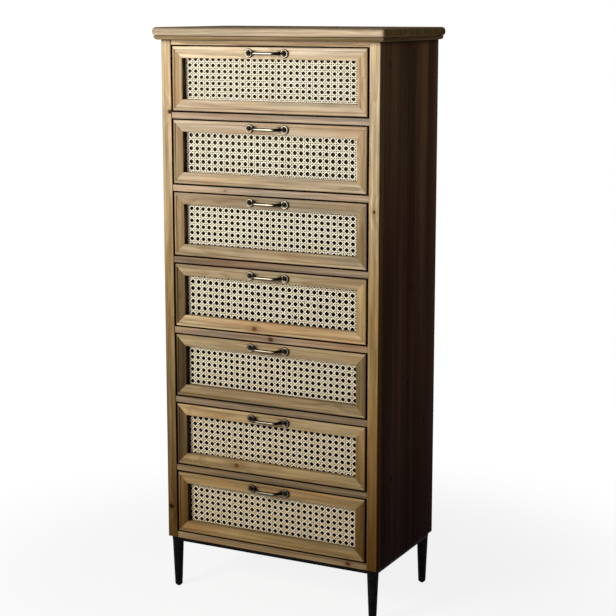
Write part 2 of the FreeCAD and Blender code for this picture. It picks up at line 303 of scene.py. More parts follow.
@dataclass(frozen=True)
class Wood:
    """Finish of a sawn softwood, read from the mesh's own grain directions.

    Attributes:
        name: Name of the finish.
        slot: Slot of the record that the finish belongs to; its value is not used.
        early: Colour of the pale growth.
        late: Colour of the dark lines of growth.
        warm: Colour of the warmer patches.
        grey: Colour of the weathered patches.
        knot: Colour of the knots.
        knot_share: Share of the places for a knot that have one.
        knot_oval: How much the distance from a knot counts along the grain and across it.
        large_knots: Places of large knots across and up the chest, in metres.
        large_oval: How much the distance from a large knot counts across, in depth and up.
        ring_gap: Distance between the lines of growth, in metres.
        ring_drift: How far the lines wander, in metres.
        ring_share: How strongly the lines show.
        streaks: Brightness of the darkest and the palest streaks.
        streak_count: Streaks across a metre.
        top_tone: Colour by which painted shade dims the wood at the top of the chest.
        middle_tone: Colour by which painted shade dims it at half height.
        foot_tone: Colour by which painted shade dims it at the foot.
        hollow_shade: Colour of the painted shade in hollows, joints and gaps, if there is any.
        hollow_shade_share: Share of painted shade where it is deepest.
        hollow_reach: How far away a wall still makes a hollow, in metres.
        hollow_range: Openness of a place that is all painted shade, and of one that has none.
        hollow_rays: Rays that measure the openness of a place.
        facing_shade: Colour of the painted shade on the faces that look sideways or up, if there is any.
        roughness: Roughness of the smoothest and the roughest fibres.
        relief: Depth of the fibres, in metres.
        relief_share: How strongly the fibres show in the light.
        ring_relief: Depth of the lines of growth as a share of that of the fibres.
        shine: Strength of the surface's reflection.
    """

    name: str
    slot: str
    early: Colour
    late: Colour
    warm: Colour
    grey: Colour
    knot: Colour = (0.075, 0.036, 0.016)
    knot_share: float = 0.5
    knot_oval: Triple = (0.62, 1.0, 1.0)
    large_knots: tuple[Pair, ...] = ()
    large_oval: Triple = (0.48, 0.0, 0.62)
    ring_gap: float = 0.0052
    ring_drift: float = 0.034
    ring_share: float = 0.42
    streaks: Pair = (0.70, 1.18)
    streak_count: float = 130.0
    top_tone: Colour = WHITE
    middle_tone: Colour = WHITE
    foot_tone: Colour = WHITE
    hollow_shade: Optional[Colour] = (0.012, 0.006, 0.003)
    hollow_shade_share: float = 0.97
    hollow_reach: float = 0.012
    hollow_range: Pair = (0.60, 0.92)
    hollow_rays: int = 6
    facing_shade: Optional[Colour] = None
    roughness: Pair = (0.50, 0.68)
    relief: float = 0.00022
    relief_share: float = 0.6
    ring_relief: float = -0.35
    shine: float = 0.16

    def material(self) -> bpy.types.Material:
        """Lays the figure, the knots, the painted shade towards the foot, the painted shade on faces that
        look sideways or up and the painted shade in hollows over each other.

        Returns:
            The finished material.
        """
        shader = new_shader(self.name)
        grain = shader.vector("grain")
        to_knot = self._to_knot(shader, grain)
        line = self._growth_lines(shader, grain, to_knot)
        fibre = shader.noise(grain, FIBRES, detail=3.0)
        streak_scale = (STREAK_STRETCH * self.streak_count, self.streak_count, self.streak_count)
        streak = shader.noise(grain, streak_scale, detail=4.0)
        warmth = shader.noise(grain, WARM_PATCHES, detail=3.0)
        weather = shader.noise(grain, GREY_PATCHES, detail=4.0)

        colour = shader.blend(shader.calc("MULTIPLY", line, self.ring_share), self.early, self.late)
        colour = shader.blend(shader.step(warmth, *WARM_STEP), colour, self.warm)
        colour = shader.blend(shader.step(weather, *GREY_STEP), colour, self.grey)
        depth = shader.calc("MULTIPLY", shader.step(streak, *STREAK_SPAN, *self.streaks),
                            shader.step(fibre, *FIBRE_STEP))
        depth = shader.calc("MULTIPLY", depth, shader.number("board"))
        colour = shader.dimmed(colour, shader.grey(depth))
        colour = shader.blend(shader.step(to_knot, *KNOT_HALO), colour, self.late)
        colour = shader.blend(shader.step(to_knot, *KNOT_HEART), colour, self.knot)
        # Painted shade: the wood gets darker and browner towards the foot of the chest
        colour = self._shaded_by_height(shader, colour)
        # Painted shade on the faces that look sideways or up
        if self.facing_shade:
            colour = self._shaded_by_facing(shader, colour, depth)
        # Painted shade in hollows, joints and gaps, deeper where the surface is less open
        if self.hollow_shade:
            reach = {"Distance": self.hollow_reach}
            hollow = shader.add("ShaderNodeAmbientOcclusion", reach, samples=self.hollow_rays)
            shade_share = shader.step(hollow.outputs["AO"], *self.hollow_range, self.hollow_shade_share, 0.0)
            colour = shader.blend(shade_share, colour, self.hollow_shade)
        height = shader.calc("ADD", shader.calc("MULTIPLY", line, self.ring_relief), fibre)
        return shader.finish(Base_Color=colour, Roughness=shader.step(fibre, *FIBRE_SPAN, *self.roughness),
                             Specular_IOR_Level=self.shine,
                             Normal=shader.bump(height, self.relief, self.relief_share))

    def _to_knot(self, shader: Shader, grain: Socket) -> Socket:
        """Finds the nearest knot, of those strewn by chance and those with a place of their own.

        Args:
            shader: Nodes of the material.
            grain: Place in the board, along the grain first.

        Returns:
            Distance to the nearest knot.
        """
        cells = shader.add("ShaderNodeTexVoronoi", {"Vector": grain, "Scale": KNOT_PLACES}).outputs
        strewn = shader.oval_distance(grain, cells["Position"], self.knot_oval)
        pick = shader.parts(cells["Color"])[0]
        none_here = shader.step(pick, 1.0 - self.knot_share, 1.01 - self.knot_share, 1.0, 0.0)
        nearest = shader.calc("ADD", strewn, none_here)
        for across, up in self.large_knots:
            placed = shader.oval_distance(shader.place(), (across, 0.0, up), self.large_oval)
            nearest = shader.calc("MINIMUM", nearest, placed)
        return nearest

    def _growth_lines(self, shader: Shader, grain: Socket, to_knot: Socket) -> Socket:
        """Draws the lines of growth about the heart of the tree, which give way round the knots.

        Args:
            shader: Nodes of the material.
            grain: Place in the board, along the grain first.
            to_knot: Distance to the nearest knot.

        Returns:
            0 in pale growth and 1 in a dark line.
        """
        _, across, deep = shader.parts(grain)
        drift = shader.calc("MULTIPLY", shader.noise(grain, RING_DRIFT, detail=3.0), self.ring_drift)
        squares = shader.calc("ADD", shader.calc("POWER", across, 2.0), shader.calc("POWER", deep, 2.0))
        reach = shader.calc("ADD", shader.calc("SQRT", squares), shader.step(to_knot, *KNOT_SWIRL))
        reach = shader.calc("ADD", reach, drift)
        ring = shader.calc("FRACT", shader.calc("DIVIDE", reach, self.ring_gap))
        return shader.calc("MULTIPLY", shader.step(ring, *RING_RISE), shader.step(ring, *RING_FALL))

    def _shaded_by_height(self, shader: Shader, colour: Value) -> Socket:
        """Paints shade that makes the wood darker and browner towards the foot of the chest.

        Args:
            shader: Nodes of the material.
            colour: Colour of the wood before the painted shade.

        Returns:
            Colour of the wood with the painted shade.
        """
        height = shader.parts(shader.place())[Axis.UP.value]
        tone = shader.blend(shader.step(height, *LOWER_HALF), self.foot_tone, self.middle_tone)
        tone = shader.blend(shader.step(height, *UPPER_HALF), tone, self.top_tone)
        return shader.dimmed(colour, tone)

    def _shaded_by_facing(self, shader: Shader, colour: Socket, depth: Socket) -> Socket:
        """Paints shade over the faces that look sideways or up.

        Args:
            shader: Nodes of the material.
            colour: Colour of the bare wood.
            depth: Brightness of the figure, which the painted shade lets through.

        Returns:
            Colour of the wood, with painted shade where it faces sideways or up.
        """
        way = shader.parts(shader.outward())
        sideways = shader.step(shader.calc("ABSOLUTE", way[Axis.ACROSS.value]), *SIDEWAYS)
        upward = shader.step(way[Axis.UP.value], *UPWARDS)
        shaded = self._shaded_by_height(shader, shader.dimmed(self.facing_shade, shader.grey(depth)))
        return shader.blend(shader.calc("MAXIMUM", sideways, upward), colour, shaded)


# Repeats of the cane's figure in a metre along a strand and across it, and with each step of its number
CANE_RIPENESS = (9.0, 40.0, 7.0)
CANE_LINES = (30.0, 2600.0, 9.0)
CANE_NODES = (70.0, 0.0, 11.0)

# Smooth steps of the cane's figure, written as those of the wood
RIPE_SPAN = (0.35, 0.72)
LINE_STEP = (0.55, 0.8, 0.0, 0.5)
LINE_ROUGHNESS = (0.3, 0.8, 0.36, 0.6)
NODE_STEP = (0.78, 0.83, 0.0, 0.35)
STRAND_EDGE_SHADE = (0.00042, 0.00070, 0.0, 0.85)
CANE_HEIGHT = (0.1, 0.9)

# Numbers that the strands draw, which tell straight from slanting ones
STRAND_NUMBERS = 48.0
SLANT_START = 52.0
SLANT_SPAN = (49.0, 51.0)


@dataclass(frozen=True)
class Cane:
    """Finish of split cane, read from each strand's own directions.

    Attributes:
        name: Name of the finish.
        slot: Slot of the record that the finish belongs to; its value is not used.
        pale: Colour of a bleached strand.
        ripe: Colour of a yellower strand.
        seam: Colour of the fine lines along a strand.
        edge: Colour of the painted shade along both edges of a strand.
        straight_top: Colour by which painted shade dims the straight strands near the top of the chest.
        straight_foot: Colour by which painted shade dims the straight strands near the foot.
        slant_foot: Colour by which painted shade dims the slanting strands near the foot.
        relief: Depth of the fine lines, in metres.
        relief_share: How strongly the lines show in the light.
        shine: Strength of the surface's reflection.
    """

    name: str = "split_cane"
    slot: str = "cane"
    pale: Colour = (0.99, 0.945, 0.765)
    ripe: Colour = (0.84, 0.73, 0.515)
    seam: Colour = (0.50, 0.38, 0.23)
    edge: Colour = (0.20, 0.135, 0.07)
    straight_top: Colour = (0.93, 0.92, 0.89)
    straight_foot: Colour = (0.70, 0.62, 0.51)
    slant_foot: Colour = (1.0, 0.93, 0.81)
    relief: float = 0.00012
    relief_share: float = 0.5
    shine: float = 0.45

    def material(self) -> bpy.types.Material:
        """Lays lines, nodes, the painted shade along the edges, and the painted shade by height and on the
        straight strands over the strands' own tones.

        Returns:
            The finished material.
        """
        shader = new_shader(self.name)
        strand = shader.vector("strand")
        _, across, number = shader.parts(strand)
        ripeness = shader.noise(strand, CANE_RIPENESS, detail=2.0)
        lines = shader.noise(strand, CANE_LINES, detail=2.0)
        nodes = shader.noise(strand, CANE_NODES, detail=0.0)
        colour = shader.blend(shader.step(ripeness, *RIPE_SPAN), self.pale, self.ripe)
        colour = shader.blend(shader.step(lines, *LINE_STEP), colour, self.seam)
        colour = shader.blend(shader.step(nodes, *NODE_STEP), colour, self.seam)
        aside = shader.calc("ABSOLUTE", across)
        # Painted shade along both edges of each strand
        colour = shader.blend(shader.step(aside, *STRAND_EDGE_SHADE), colour, self.edge)
        # Painted shade: all strands darker towards the foot, the straight ones more than the slanting ones
        rise = shader.step(shader.parts(shader.place())[Axis.UP.value], *CANE_HEIGHT)
        straight_tone = shader.blend(rise, self.straight_foot, self.straight_top)
        slant_tone = shader.blend(rise, self.slant_foot, WHITE)
        tone = shader.blend(shader.step(number, *SLANT_SPAN), straight_tone, slant_tone)
        return shader.finish(Base_Color=shader.dimmed(colour, tone),
                             Roughness=shader.step(lines, *LINE_ROUGHNESS), Specular_IOR_Level=self.shine,
                             Normal=shader.bump(lines, self.relief, self.relief_share))


@dataclass(frozen=True)
class Metal:
    """Finish of a metal with darker patches and worn places.

    Attributes:
        name: Name of the finish.
        slot: Slot of the record that the finish belongs to; its value is not used.
        bright: Colour where the metal is worn, and where it faces outward on metal that is bright by facing.
        dark: Colour where it is tarnished or coated, and on the other sides of metal that is bright by
            facing, where it paints a dark reflection.
        roughness: Roughness where it is worn.
        dull: Roughness where it is tarnished or coated.
        metallic: Share of bare metal.
        scale: Patches in a metre.
        relief: Depth of the fine relief, in metres.
        shine: Strength of the reflection of a coat.
        wear_and_reflection_by_facing: Whether the metal is bright where it faces outward and dark on its
            other sides, partly wear from hands and partly a painted reflection of dark surroundings.
        foot_share: Brightness near the foot of the chest as a share of that at the top, painted shade.
        speck_share: How many times finer the specks are than the patches.
        worn_span: Patches from where they are tarnished to where they are worn.
        facing_span: The same for metal that is bright by facing, by how far it faces outward.
        facing_drift: How much the patches move the border of the bright places.
        height_span: Heights between which the painted shade lifts and the metal gets brighter, in metres.
        relief_share: How strongly the fine relief shows in the light.
    """

    name: str
    slot: str
    bright: Colour
    dark: Colour
    roughness: float
    dull: float
    metallic: float
    scale: float
    relief: float
    shine: float = 0.5
    wear_and_reflection_by_facing: bool = False
    foot_share: float = 1.0
    speck_share: float = 14.0
    worn_span: Pair = (0.36, 0.66)
    facing_span: Pair = (0.80, 0.99)
    facing_drift: float = 0.25
    height_span: Pair = (0.1, 1.1)
    relief_share: float = 0.7

    def material(self) -> bpy.types.Material:
        """Lays the worn places over the tarnished metal, with a painted reflection by facing and painted
        shade towards the foot.

        Returns:
            The finished material.
        """
        shader = new_shader(self.name)
        place = shader.place()
        patch = shader.noise(place, (self.scale,) * 3, detail=4.0)
        speck = shader.noise(place, (self.scale * self.speck_share,) * 3, detail=2.0)
        worn = shader.step(patch, *self.worn_span)
        # Bright where the metal faces outward and dark on its other sides: partly wear from hands, partly a
        # painted reflection of dark surroundings
        if self.wear_and_reflection_by_facing:
            forward = shader.calc("MULTIPLY", shader.parts(shader.outward())[Axis.DEEP.value], -1.0)
            drift = shader.calc("MULTIPLY", shader.calc("SUBTRACT", patch, 0.5), self.facing_drift)
            worn = shader.step(shader.calc("ADD", forward, drift), *self.facing_span)
        # Painted shade: the metal darkens towards the foot of the chest
        height = shader.parts(place)[Axis.UP.value]
        tone = shader.grey(shader.step(height, *self.height_span, self.foot_share, 1.0))
        return shader.finish(Base_Color=shader.dimmed(shader.blend(worn, self.dark, self.bright), tone),
                             Metallic=self.metallic,
                             Roughness=shader.step(worn, 0.0, 1.0, self.dull, self.roughness),
                             Specular_IOR_Level=self.shine,
                             Normal=shader.bump(speck, self.relief, self.relief_share))


@dataclass(frozen=True)
class Cloth:
    """Finish of a near-black backing cloth with a plain weave, whose darkness paints the shade seen through
    the cane's holes.

    Attributes:
        name: Name of the finish.
        dark: Colour of the hollows.
        thread: Colour of the threads.
        painted_top_light: Colour of the cloth near the top of the chest, paler as painted light.
        pitch: Distance between threads, in metres.
        thread_span: Heights of the weave from hollow to thread.
        painted_light_span: Heights between which the painted light pales the cloth, in metres.
        relief: Depth of the weave, in metres.
        relief_share: How strongly the weave shows in the light.
        roughness: Roughness of the cloth.
        shine: Strength of its reflection.
    """

    name: str = "backing_cloth"
    dark: Colour = (0.0014, 0.0011, 0.0008)
    thread: Colour = (0.004, 0.003, 0.002)
    painted_top_light: Colour = (0.060, 0.044, 0.025)
    pitch: float = 0.0011
    thread_span: Pair = (-0.4, 0.6)
    painted_light_span: Pair = (0.70, 1.15)
    relief: float = 0.0002
    relief_share: float = 0.5
    roughness: float = 0.95
    shine: float = 0.1

    def material(self) -> bpy.types.Material:
        """Weaves the threads and pales them towards the top of the chest with painted light.

        Returns:
            The finished material.
        """
        shader = new_shader(self.name)
        across, _, height = shader.parts(shader.place())
        waves = [shader.calc("SINE", shader.calc("MULTIPLY", way, 2 * math.pi / self.pitch))
                 for way in (across, height)]
        weave = shader.calc("MULTIPLY", *waves)
        colour = shader.blend(shader.step(weave, *self.thread_span), self.dark, self.thread)
        # Painted light: the cloth pales towards the top of the chest
        colour = shader.blend(shader.step(height, *self.painted_light_span), colour, self.painted_top_light)
        return shader.finish(Base_Color=colour, Roughness=self.roughness, Specular_IOR_Level=self.shine,
                             Normal=shader.bump(weave, self.relief, self.relief_share))


Finish = Union[Wood, Cane, Metal, Cloth]

# The tones by height in the finishes below paint the shade that deepens towards the foot of the chest
FRONT_WOOD = Wood("front_fir", "front_wood", early=(0.67, 0.525, 0.350), late=(0.39, 0.255, 0.145),
                  warm=(0.60, 0.375, 0.205), grey=(0.48, 0.43, 0.34), knot=(0.24, 0.105, 0.050),
                  large_knots=((-0.032, 0.590), (-0.077, 0.294)), ring_share=0.5, streaks=(0.70, 1.17),
                  middle_tone=(0.50, 0.474, 0.393), foot_tone=(0.40, 0.34, 0.215),
                  hollow_range=(0.54, 0.84), shine=0.03)
# Upright boards get much darker towards the foot, painted shade, and their long hollow reach paints the shade
# on the fronts' inner walls
UPRIGHT_WOOD = replace(FRONT_WOOD, name="front_fir_upright", top_tone=(0.71, 0.64, 0.53),
                       middle_tone=(0.47, 0.404, 0.263), foot_tone=(0.122, 0.077, 0.022),
                       hollow_reach=0.035, hollow_range=(0.62, 0.90))
RAIL_WOOD = Wood("rail_fir", "front_wood", early=(0.48, 0.38, 0.275), late=(0.29, 0.20, 0.125),
                 warm=(0.46, 0.29, 0.175), grey=(0.40, 0.355, 0.29), knot=(0.13, 0.062, 0.032),
                 large_knots=((0.005, 0.571), (0.182, 0.1208)), ring_share=0.5, streaks=(0.60, 1.28),
                 middle_tone=(0.49, 0.45, 0.395), foot_tone=(0.45, 0.39, 0.28), shine=0.03)
TOP_RAIL_WOOD = replace(RAIL_WOOD, name="top_rail_fir", top_tone=(1.02, 0.92, 0.73),
                        hollow_range=(0.46, 0.76))
# The stiles and the top carry painted shade on the faces that look sideways or up, and the stiles get much
# darker towards the foot, painted shade too
CASE_WOOD = Wood("case_fir", "front_wood", early=(0.54, 0.42, 0.258), late=(0.33, 0.215, 0.108),
                 warm=(0.48, 0.31, 0.155), grey=(0.42, 0.37, 0.265),
                 large_knots=((-0.2275, 1.028), (-0.238, 0.182)), ring_share=0.5, streaks=(0.62, 1.26),
                 streak_count=90.0, middle_tone=(0.51, 0.432, 0.288), foot_tone=(0.143, 0.095, 0.036),
                 facing_shade=(0.150, 0.092, 0.042), shine=0.005)
TOP_WOOD = replace(CASE_WOOD, name="top_fir", early=(0.58, 0.455, 0.31), late=(0.35, 0.23, 0.128),
                   warm=(0.49, 0.345, 0.213), grey=(0.47, 0.40, 0.315), ring_share=0.42,
                   streaks=(0.70, 1.18), streak_count=130.0, facing_shade=(0.20, 0.127, 0.047))
# The moulding's colours are far darker than the case's: painted shadow under the top's overhanging nose
MOULDING_SHADOW_WOOD = replace(CASE_WOOD, name="moulding_fir_shadowed", early=(0.30, 0.215, 0.105),
                        late=(0.18, 0.112, 0.048), warm=(0.26, 0.165, 0.078), grey=(0.25, 0.195, 0.115))
# The sides' near-black brown is painted shade of the sides that face away from the lamp, deepest towards the
# foot
SIDE_WOOD = Wood("shaded_side_fir", "side_wood", early=(0.158, 0.083, 0.042), late=(0.071, 0.033, 0.017),
                 warm=(0.148, 0.059, 0.032), grey=(0.130, 0.088, 0.041), knot=(0.010, 0.005, 0.003),
                 ring_gap=0.0085, ring_share=0.18, streaks=(0.50, 1.40), streak_count=24.0,
                 middle_tone=(0.52, 0.44, 0.57), foot_tone=(0.134, 0.116, 0.182),
                 hollow_shade=(0.006, 0.003, 0.002), shine=0.004)
INNER_WOOD = Wood("inner_pine", "inner_wood", early=(0.64, 0.50, 0.33), late=(0.44, 0.29, 0.15),
                  warm=(0.58, 0.41, 0.24), grey=(0.52, 0.43, 0.31), knot=(0.14, 0.07, 0.03), hollow_shade=None)
PLYWOOD = Wood("plywood", "plywood", early=(0.54, 0.42, 0.28), late=(0.42, 0.29, 0.17),
               warm=(0.50, 0.36, 0.22), grey=(0.48, 0.38, 0.26), knot_share=0.0, ring_gap=0.016, hollow_shade=None)
CANE = Cane()
# The pulls' brass darkens towards the foot, painted shade, and is bright only where it faces outward, partly
# wear and partly a painted reflection
BRASS = Metal("aged_brass", "pull_metal", bright=(0.38, 0.335, 0.245), dark=(0.014, 0.011, 0.008),
              roughness=0.40, dull=0.5, metallic=1.0, scale=120.0, relief=0.00004, wear_and_reflection_by_facing=True,
              foot_share=0.38)
DARK_BRASS = Metal("dull_brass", "pull_metal", bright=(0.15, 0.125, 0.088), dark=(0.050, 0.040, 0.028),
                   roughness=0.48, dull=0.6, metallic=1.0, scale=240.0, relief=0.00004, foot_share=0.4)
SCREW_STEEL = Metal("dark_screw", "pull_metal", bright=(0.016, 0.012, 0.009), dark=(0.005, 0.004, 0.003),
                    roughness=0.42, dull=0.6, metallic=1.0, scale=300.0, relief=0.00003)
BLACK_STEEL = Metal("black_steel", "base_steel", bright=(0.0048, 0.0046, 0.0045),
                    dark=(0.0018, 0.0018, 0.0018), roughness=0.5, dull=0.6, metallic=0.0, scale=60.0,
                    relief=0.00005, shine=0.03)
GLIDE_PLASTIC = Metal("glide_plastic", "glide_plastic", bright=(0.030, 0.030, 0.030),
                      dark=(0.018, 0.018, 0.018), roughness=0.4, dull=0.55, metallic=0.0, scale=400.0,
                      relief=0.00002)
BACKING = Cloth()

# Boards that are plainly paler or darker than the rest. The boards of a front count from the top one round
# by the right
BOARD_TONES = {
    "stile_left_0": 0.97, "stile_right_0": 1.20,
    "divider_rail_1_0": 0.86, "divider_rail_2_0": 1.03, "divider_rail_3_0": 0.92, "divider_rail_4_0": 1.36,
    "divider_rail_6_0": 0.82,
    "drawer_1_frame_0": 1.14, "drawer_1_frame_2": 0.80,
    "drawer_2_frame_0": 0.89, "drawer_2_frame_3": 0.77,
    "drawer_3_frame_0": 0.64, "drawer_3_frame_1": 0.80,
    "drawer_4_frame_0": 0.91, "drawer_4_frame_1": 1.26, "drawer_4_frame_2": 1.42, "drawer_4_frame_3": 0.39,
    "drawer_5_frame_1": 0.60, "drawer_5_frame_2": 0.82, "drawer_5_frame_3": 0.25,
    "drawer_6_frame_0": 1.22, "drawer_6_frame_1": 1.20, "drawer_6_frame_3": 0.54,
    "drawer_7_frame_0": 1.10,
}

# What a board draws by chance: its tone, where along the tree it was cut, and how far aside and how deep
# the heart of the tree lies, in metres
TONE_SPREAD = (0.88, 1.08)
CUT_SPREAD = (0.0, 7.0)
HEART_ASIDE = (-0.03, 0.03)
HEART_DEPTH = (0.03, 0.08)

# Corners of a CAD mesh or of a turned one that are nearer than these are one, in metres. Faces that turn
# less than the flat turn are one face, and edges that turn more than the sharp turn are rounded
SAME_PLACE = 1e-6
SAME_PLACE_DIGITS = 6
SAME_TURNED_PLACE = 1e-7
FLAT_TURN = math.radians(0.6)
SHARP_TURN = math.radians(32)

MATERIALS: dict[str, bpy.types.Material] = {}


def material_of(finish: Finish) -> bpy.types.Material:
    """Looks up the material of a finish and makes it at its first use.

    Args:
        finish: The finish.

    Returns:
        Its material.
    """
    if finish.name not in MATERIALS:
        MATERIALS[finish.name] = finish.material()
    return MATERIALS[finish.name]


def solids_of(node: str) -> list[Solid]:
    """Splits a CAD node into its closed solids.

    Triangles come solid after solid, and a solid is whole once each of its edges has been met both ways.

    Args:
        node: Name of the node.

    Returns:
        One merged mesh for each solid.
    """
    mesh = frame["nodes"][node].data
    solids, faces, open_edges = [], [], set()
    for polygon in mesh.polygons:
        places = [mesh.vertices[number].co for number in polygon.vertices]
        corners = [tuple(round(part, SAME_PLACE_DIGITS) for part in place) for place in places]
        faces.append(corners)
        for start, end in zip(corners, corners[1:] + corners[:1]):
            if (end, start) in open_edges:
                open_edges.remove((end, start))
            else:
                open_edges.add((start, end))
        if not open_edges:
            solids.append(merged_solid(faces))
            faces = []
    if faces:
        solids.append(merged_solid(faces))
    return solids


def merged_solid(faces: list[list[tuple]]) -> Solid:
    """Makes one mesh from loose triangles, with its flat faces whole again.

    Args:
        faces: Corners of each triangle.

    Returns:
        The merged mesh.
    """
    solid = bmesh.new()
    for corners in faces:
        solid.faces.new([solid.verts.new(corner) for corner in corners])
    bmesh.ops.remove_doubles(solid, verts=solid.verts, dist=SAME_PLACE)
    bmesh.ops.dissolve_limit(solid, angle_limit=FLAT_TURN, verts=solid.verts, edges=solid.edges)
    return solid


def box_of(solid: Solid) -> tuple[Vector, Vector]:
    """Measures a mesh.

    Args:
        solid: The mesh.

    Returns:
        Its lowest and its highest corner.
    """
    places = [vert.co for vert in solid.verts]
    low = Vector([min(place[axis.value] for place in places) for axis in Axis])
    high = Vector([max(place[axis.value] for place in places) for axis in Axis])
    return low, high


def ease_edges(solid: Solid, width: float) -> None:
    """Rounds the sharp edges of a solid.

    Args:
        solid: Mesh that is changed.
        width: Width of the rounding, in metres.
    """
    sharp = [edge for edge in solid.edges
             if len(edge.link_faces) == 2 and edge.calc_face_angle() > SHARP_TURN]
    bmesh.ops.bevel(solid, geom=sharp, offset=width, offset_type="OFFSET", segments=2, profile=0.5,
                    affect="EDGES", clamp_overlap=True, material=-1)


def lay_grain(solid: Solid, name: str) -> None:
    """Gives a board its own tone and its own grain, which runs along its longest side.

    Args:
        solid: Mesh of the board.
        name: Name of the board, which settles its figure.
    """
    draw = random.Random(name)
    low, high = box_of(solid)
    centre = (low + high) / 2
    along, across, deep = sorted(range(3), key=lambda axis: low[axis] - high[axis])
    cut = draw.uniform(*CUT_SPREAD)
    aside = draw.uniform(*HEART_ASIDE)
    depth = draw.choice((-1, 1)) * draw.uniform(*HEART_DEPTH)
    tone = BOARD_TONES.get(name, draw.uniform(*TONE_SPREAD))
    grain = solid.verts.layers.float_vector.new("grain")
    board = solid.verts.layers.float.new("board")
    for vert in solid.verts:
        local = vert.co - centre
        vert[board] = tone
        vert[grain] = Vector((local[along] + cut, local[across] + aside, local[deep] + depth))


def joined(solids: list[Solid]) -> Solid:
    """Puts several meshes into one.

    Args:
        solids: The meshes, which are freed.

    Returns:
        The mesh that holds them all.
    """
    whole = bmesh.new()
    for solid in solids:
        shape = bpy.data.meshes.new("solid")
        solid.to_mesh(shape)
        solid.free()
        whole.from_mesh(shape)
        bpy.data.meshes.remove(shape)
    return whole


def make_piece(name: str, shape: Solid, body: str, finish: Finish, replaced: tuple[str, ...] = (),
               smooth_angle: float = 38.0) -> bpy.types.Object:
    """Turns a finished mesh into a piece of the chest.

    Args:
        name: Name of the piece.
        shape: Its mesh, which is freed.
        body: Body that it moves with.
        finish: Finish of its first material slot.
        replaced: CAD nodes that it stands for.
        smooth_angle: Largest angle between faces that shade as one, in degrees.

    Returns:
        The new object.
    """
    mesh = bpy.data.meshes.new(name)
    for polygon in shape.faces:
        polygon.smooth = True
    shape.to_mesh(mesh)
    shape.free()
    mesh.set_sharp_from_angle(angle=math.radians(smooth_angle))
    mesh.materials.append(material_of(finish))
    piece = bpy.data.objects.new(name, mesh)
    bpy.context.scene.collection.objects.link(piece)
    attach(piece, body)
    if replaced:
        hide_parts(*replaced)
    hasattr(finish, "slot")
    LOG.info("%s rides on %s, %d faces", name, body, len(mesh.polygons))
    return piece


def shade_flats(piece: bpy.types.Object) -> None:
    """Keeps the large faces of a piece flat beside its rounded edges."""
    normals = piece.modifiers.new("flat_faces", "WEIGHTED_NORMAL")
    normals.keep_sharp = True


def make_boards(node: str, body: str, finish: Wood, ease: float, upright: Optional[Wood] = None,
                shaping: Optional[Callable[[Solid], None]] = None) -> None:
    """Dresses a wooden node, each of its solids as a board of its own.

    Args:
        node: CAD node that is dressed.
        body: Body that it moves with.
        finish: Finish of the wood.
        ease: Rounding of its edges, in metres.
        upright: Finish of its upright boards, if it is another.
        shaping: Work on each board before its edges are rounded, if there is any.
    """
    boards = solids_of(node)
    for number, board in enumerate(boards):
        low, high = box_of(board)
        if shaping:
            shaping(board)
        ease_edges(board, ease)
        lay_grain(board, f"{node}_{number}")
        if upright and high.z - low.z > high.x - low.x:
            for face in board.faces:
                face.material_index = 1
    piece = make_piece(f"{node}_wood", joined(boards), body, finish, (node,))
    if upright:
        piece.data.materials.append(material_of(upright))
    shade_flats(piece)


def make_planks(node: str, body: str, finish: Wood, ease: float, joints: tuple[float, ...]) -> None:
    """Dresses a deep node as planks glued edge to edge from front to back.

    Args:
        node: CAD node that is dressed.
        body: Body that it moves with.
        finish: Finish of the wood.
        ease: Rounding of the planks' edges, in metres.
        joints: Places of the glued joints, as shares of the depth.
    """
    planks = []
    borders = [0.0, *joints, 1.0]
    for number, (start, end) in enumerate(zip(borders, borders[1:])):
        plank = solids_of(node)[0]
        low, high = box_of(plank)
        for share, outward in ((start, FORWARD), (end, BACKWARD)):
            if 0.0 < share < 1.0:
                cut_off(plank, low + BACKWARD * (share * (high.y - low.y)), outward)
        ease_edges(plank, ease)
        lay_grain(plank, f"{node}_{number}")
        planks.append(plank)
    shade_flats(make_piece(f"{node}_planks", joined(planks), body, finish, (node,)))


def cut_off(solid: Solid, point: Vector, outward: Vector) -> None:
    """Cuts away what lies beyond a plane and closes the cut.

    Args:
        solid: Mesh that is cut.
        point: Point on the plane.
        outward: Direction of what is cut away.
    """
    everything = [*solid.verts, *solid.edges, *solid.faces]
    cut = bmesh.ops.bisect_plane(solid, geom=everything, plane_co=point, plane_no=outward, clear_outer=True)
    rim = [item for item in cut["geom_cut"] if isinstance(item, bmesh.types.BMEdge)]
    if rim:
        bmesh.ops.edgeloop_fill(solid, edges=rim)


def turned(profile: list[Pair], centre: Vector, axis: Vector, sides: int) -> Solid:
    """Turns a round solid from a half outline.

    Args:
        profile: Radius and distance along the axis, from one end of the axis to the other.
        centre: Point that the distances start from.
        axis: Direction of the axis.
        sides: Faces round the axis.

    Returns:
        The closed mesh.
    """
    shape = bmesh.new()
    level = axis.orthogonal().normalized()
    verts = [shape.verts.new(centre + axis * along + level * radius) for radius, along in profile]
    edges = [shape.edges.new(pair) for pair in zip(verts, verts[1:])]
    bmesh.ops.spin(shape, geom=[*verts, *edges], cent=centre, axis=axis, angle=2 * math.pi, steps=sides,
                   use_merge=True, use_normal_flip=False, use_duplicate=False)
    bmesh.ops.remove_doubles(shape, verts=shape.verts, dist=SAME_TURNED_PLACE)
    bmesh.ops.recalc_face_normals(shape, faces=shape.faces)
    return shape


def plug(radius: float, height: float, top_share: float = 1.0) -> list[Pair]:
    """Half outline of a short round plug, with the radius of its top as a share of the other."""
    return [(0.0, 0.0), (radius, 0.0), (radius * top_share, height), (0.0, height)]


def quarter(steps: int) -> list[float]:
    """Angles of a quarter turn from its start to its end, in radians."""
    return [math.pi / 2 * step / steps for step in range(steps + 1)]


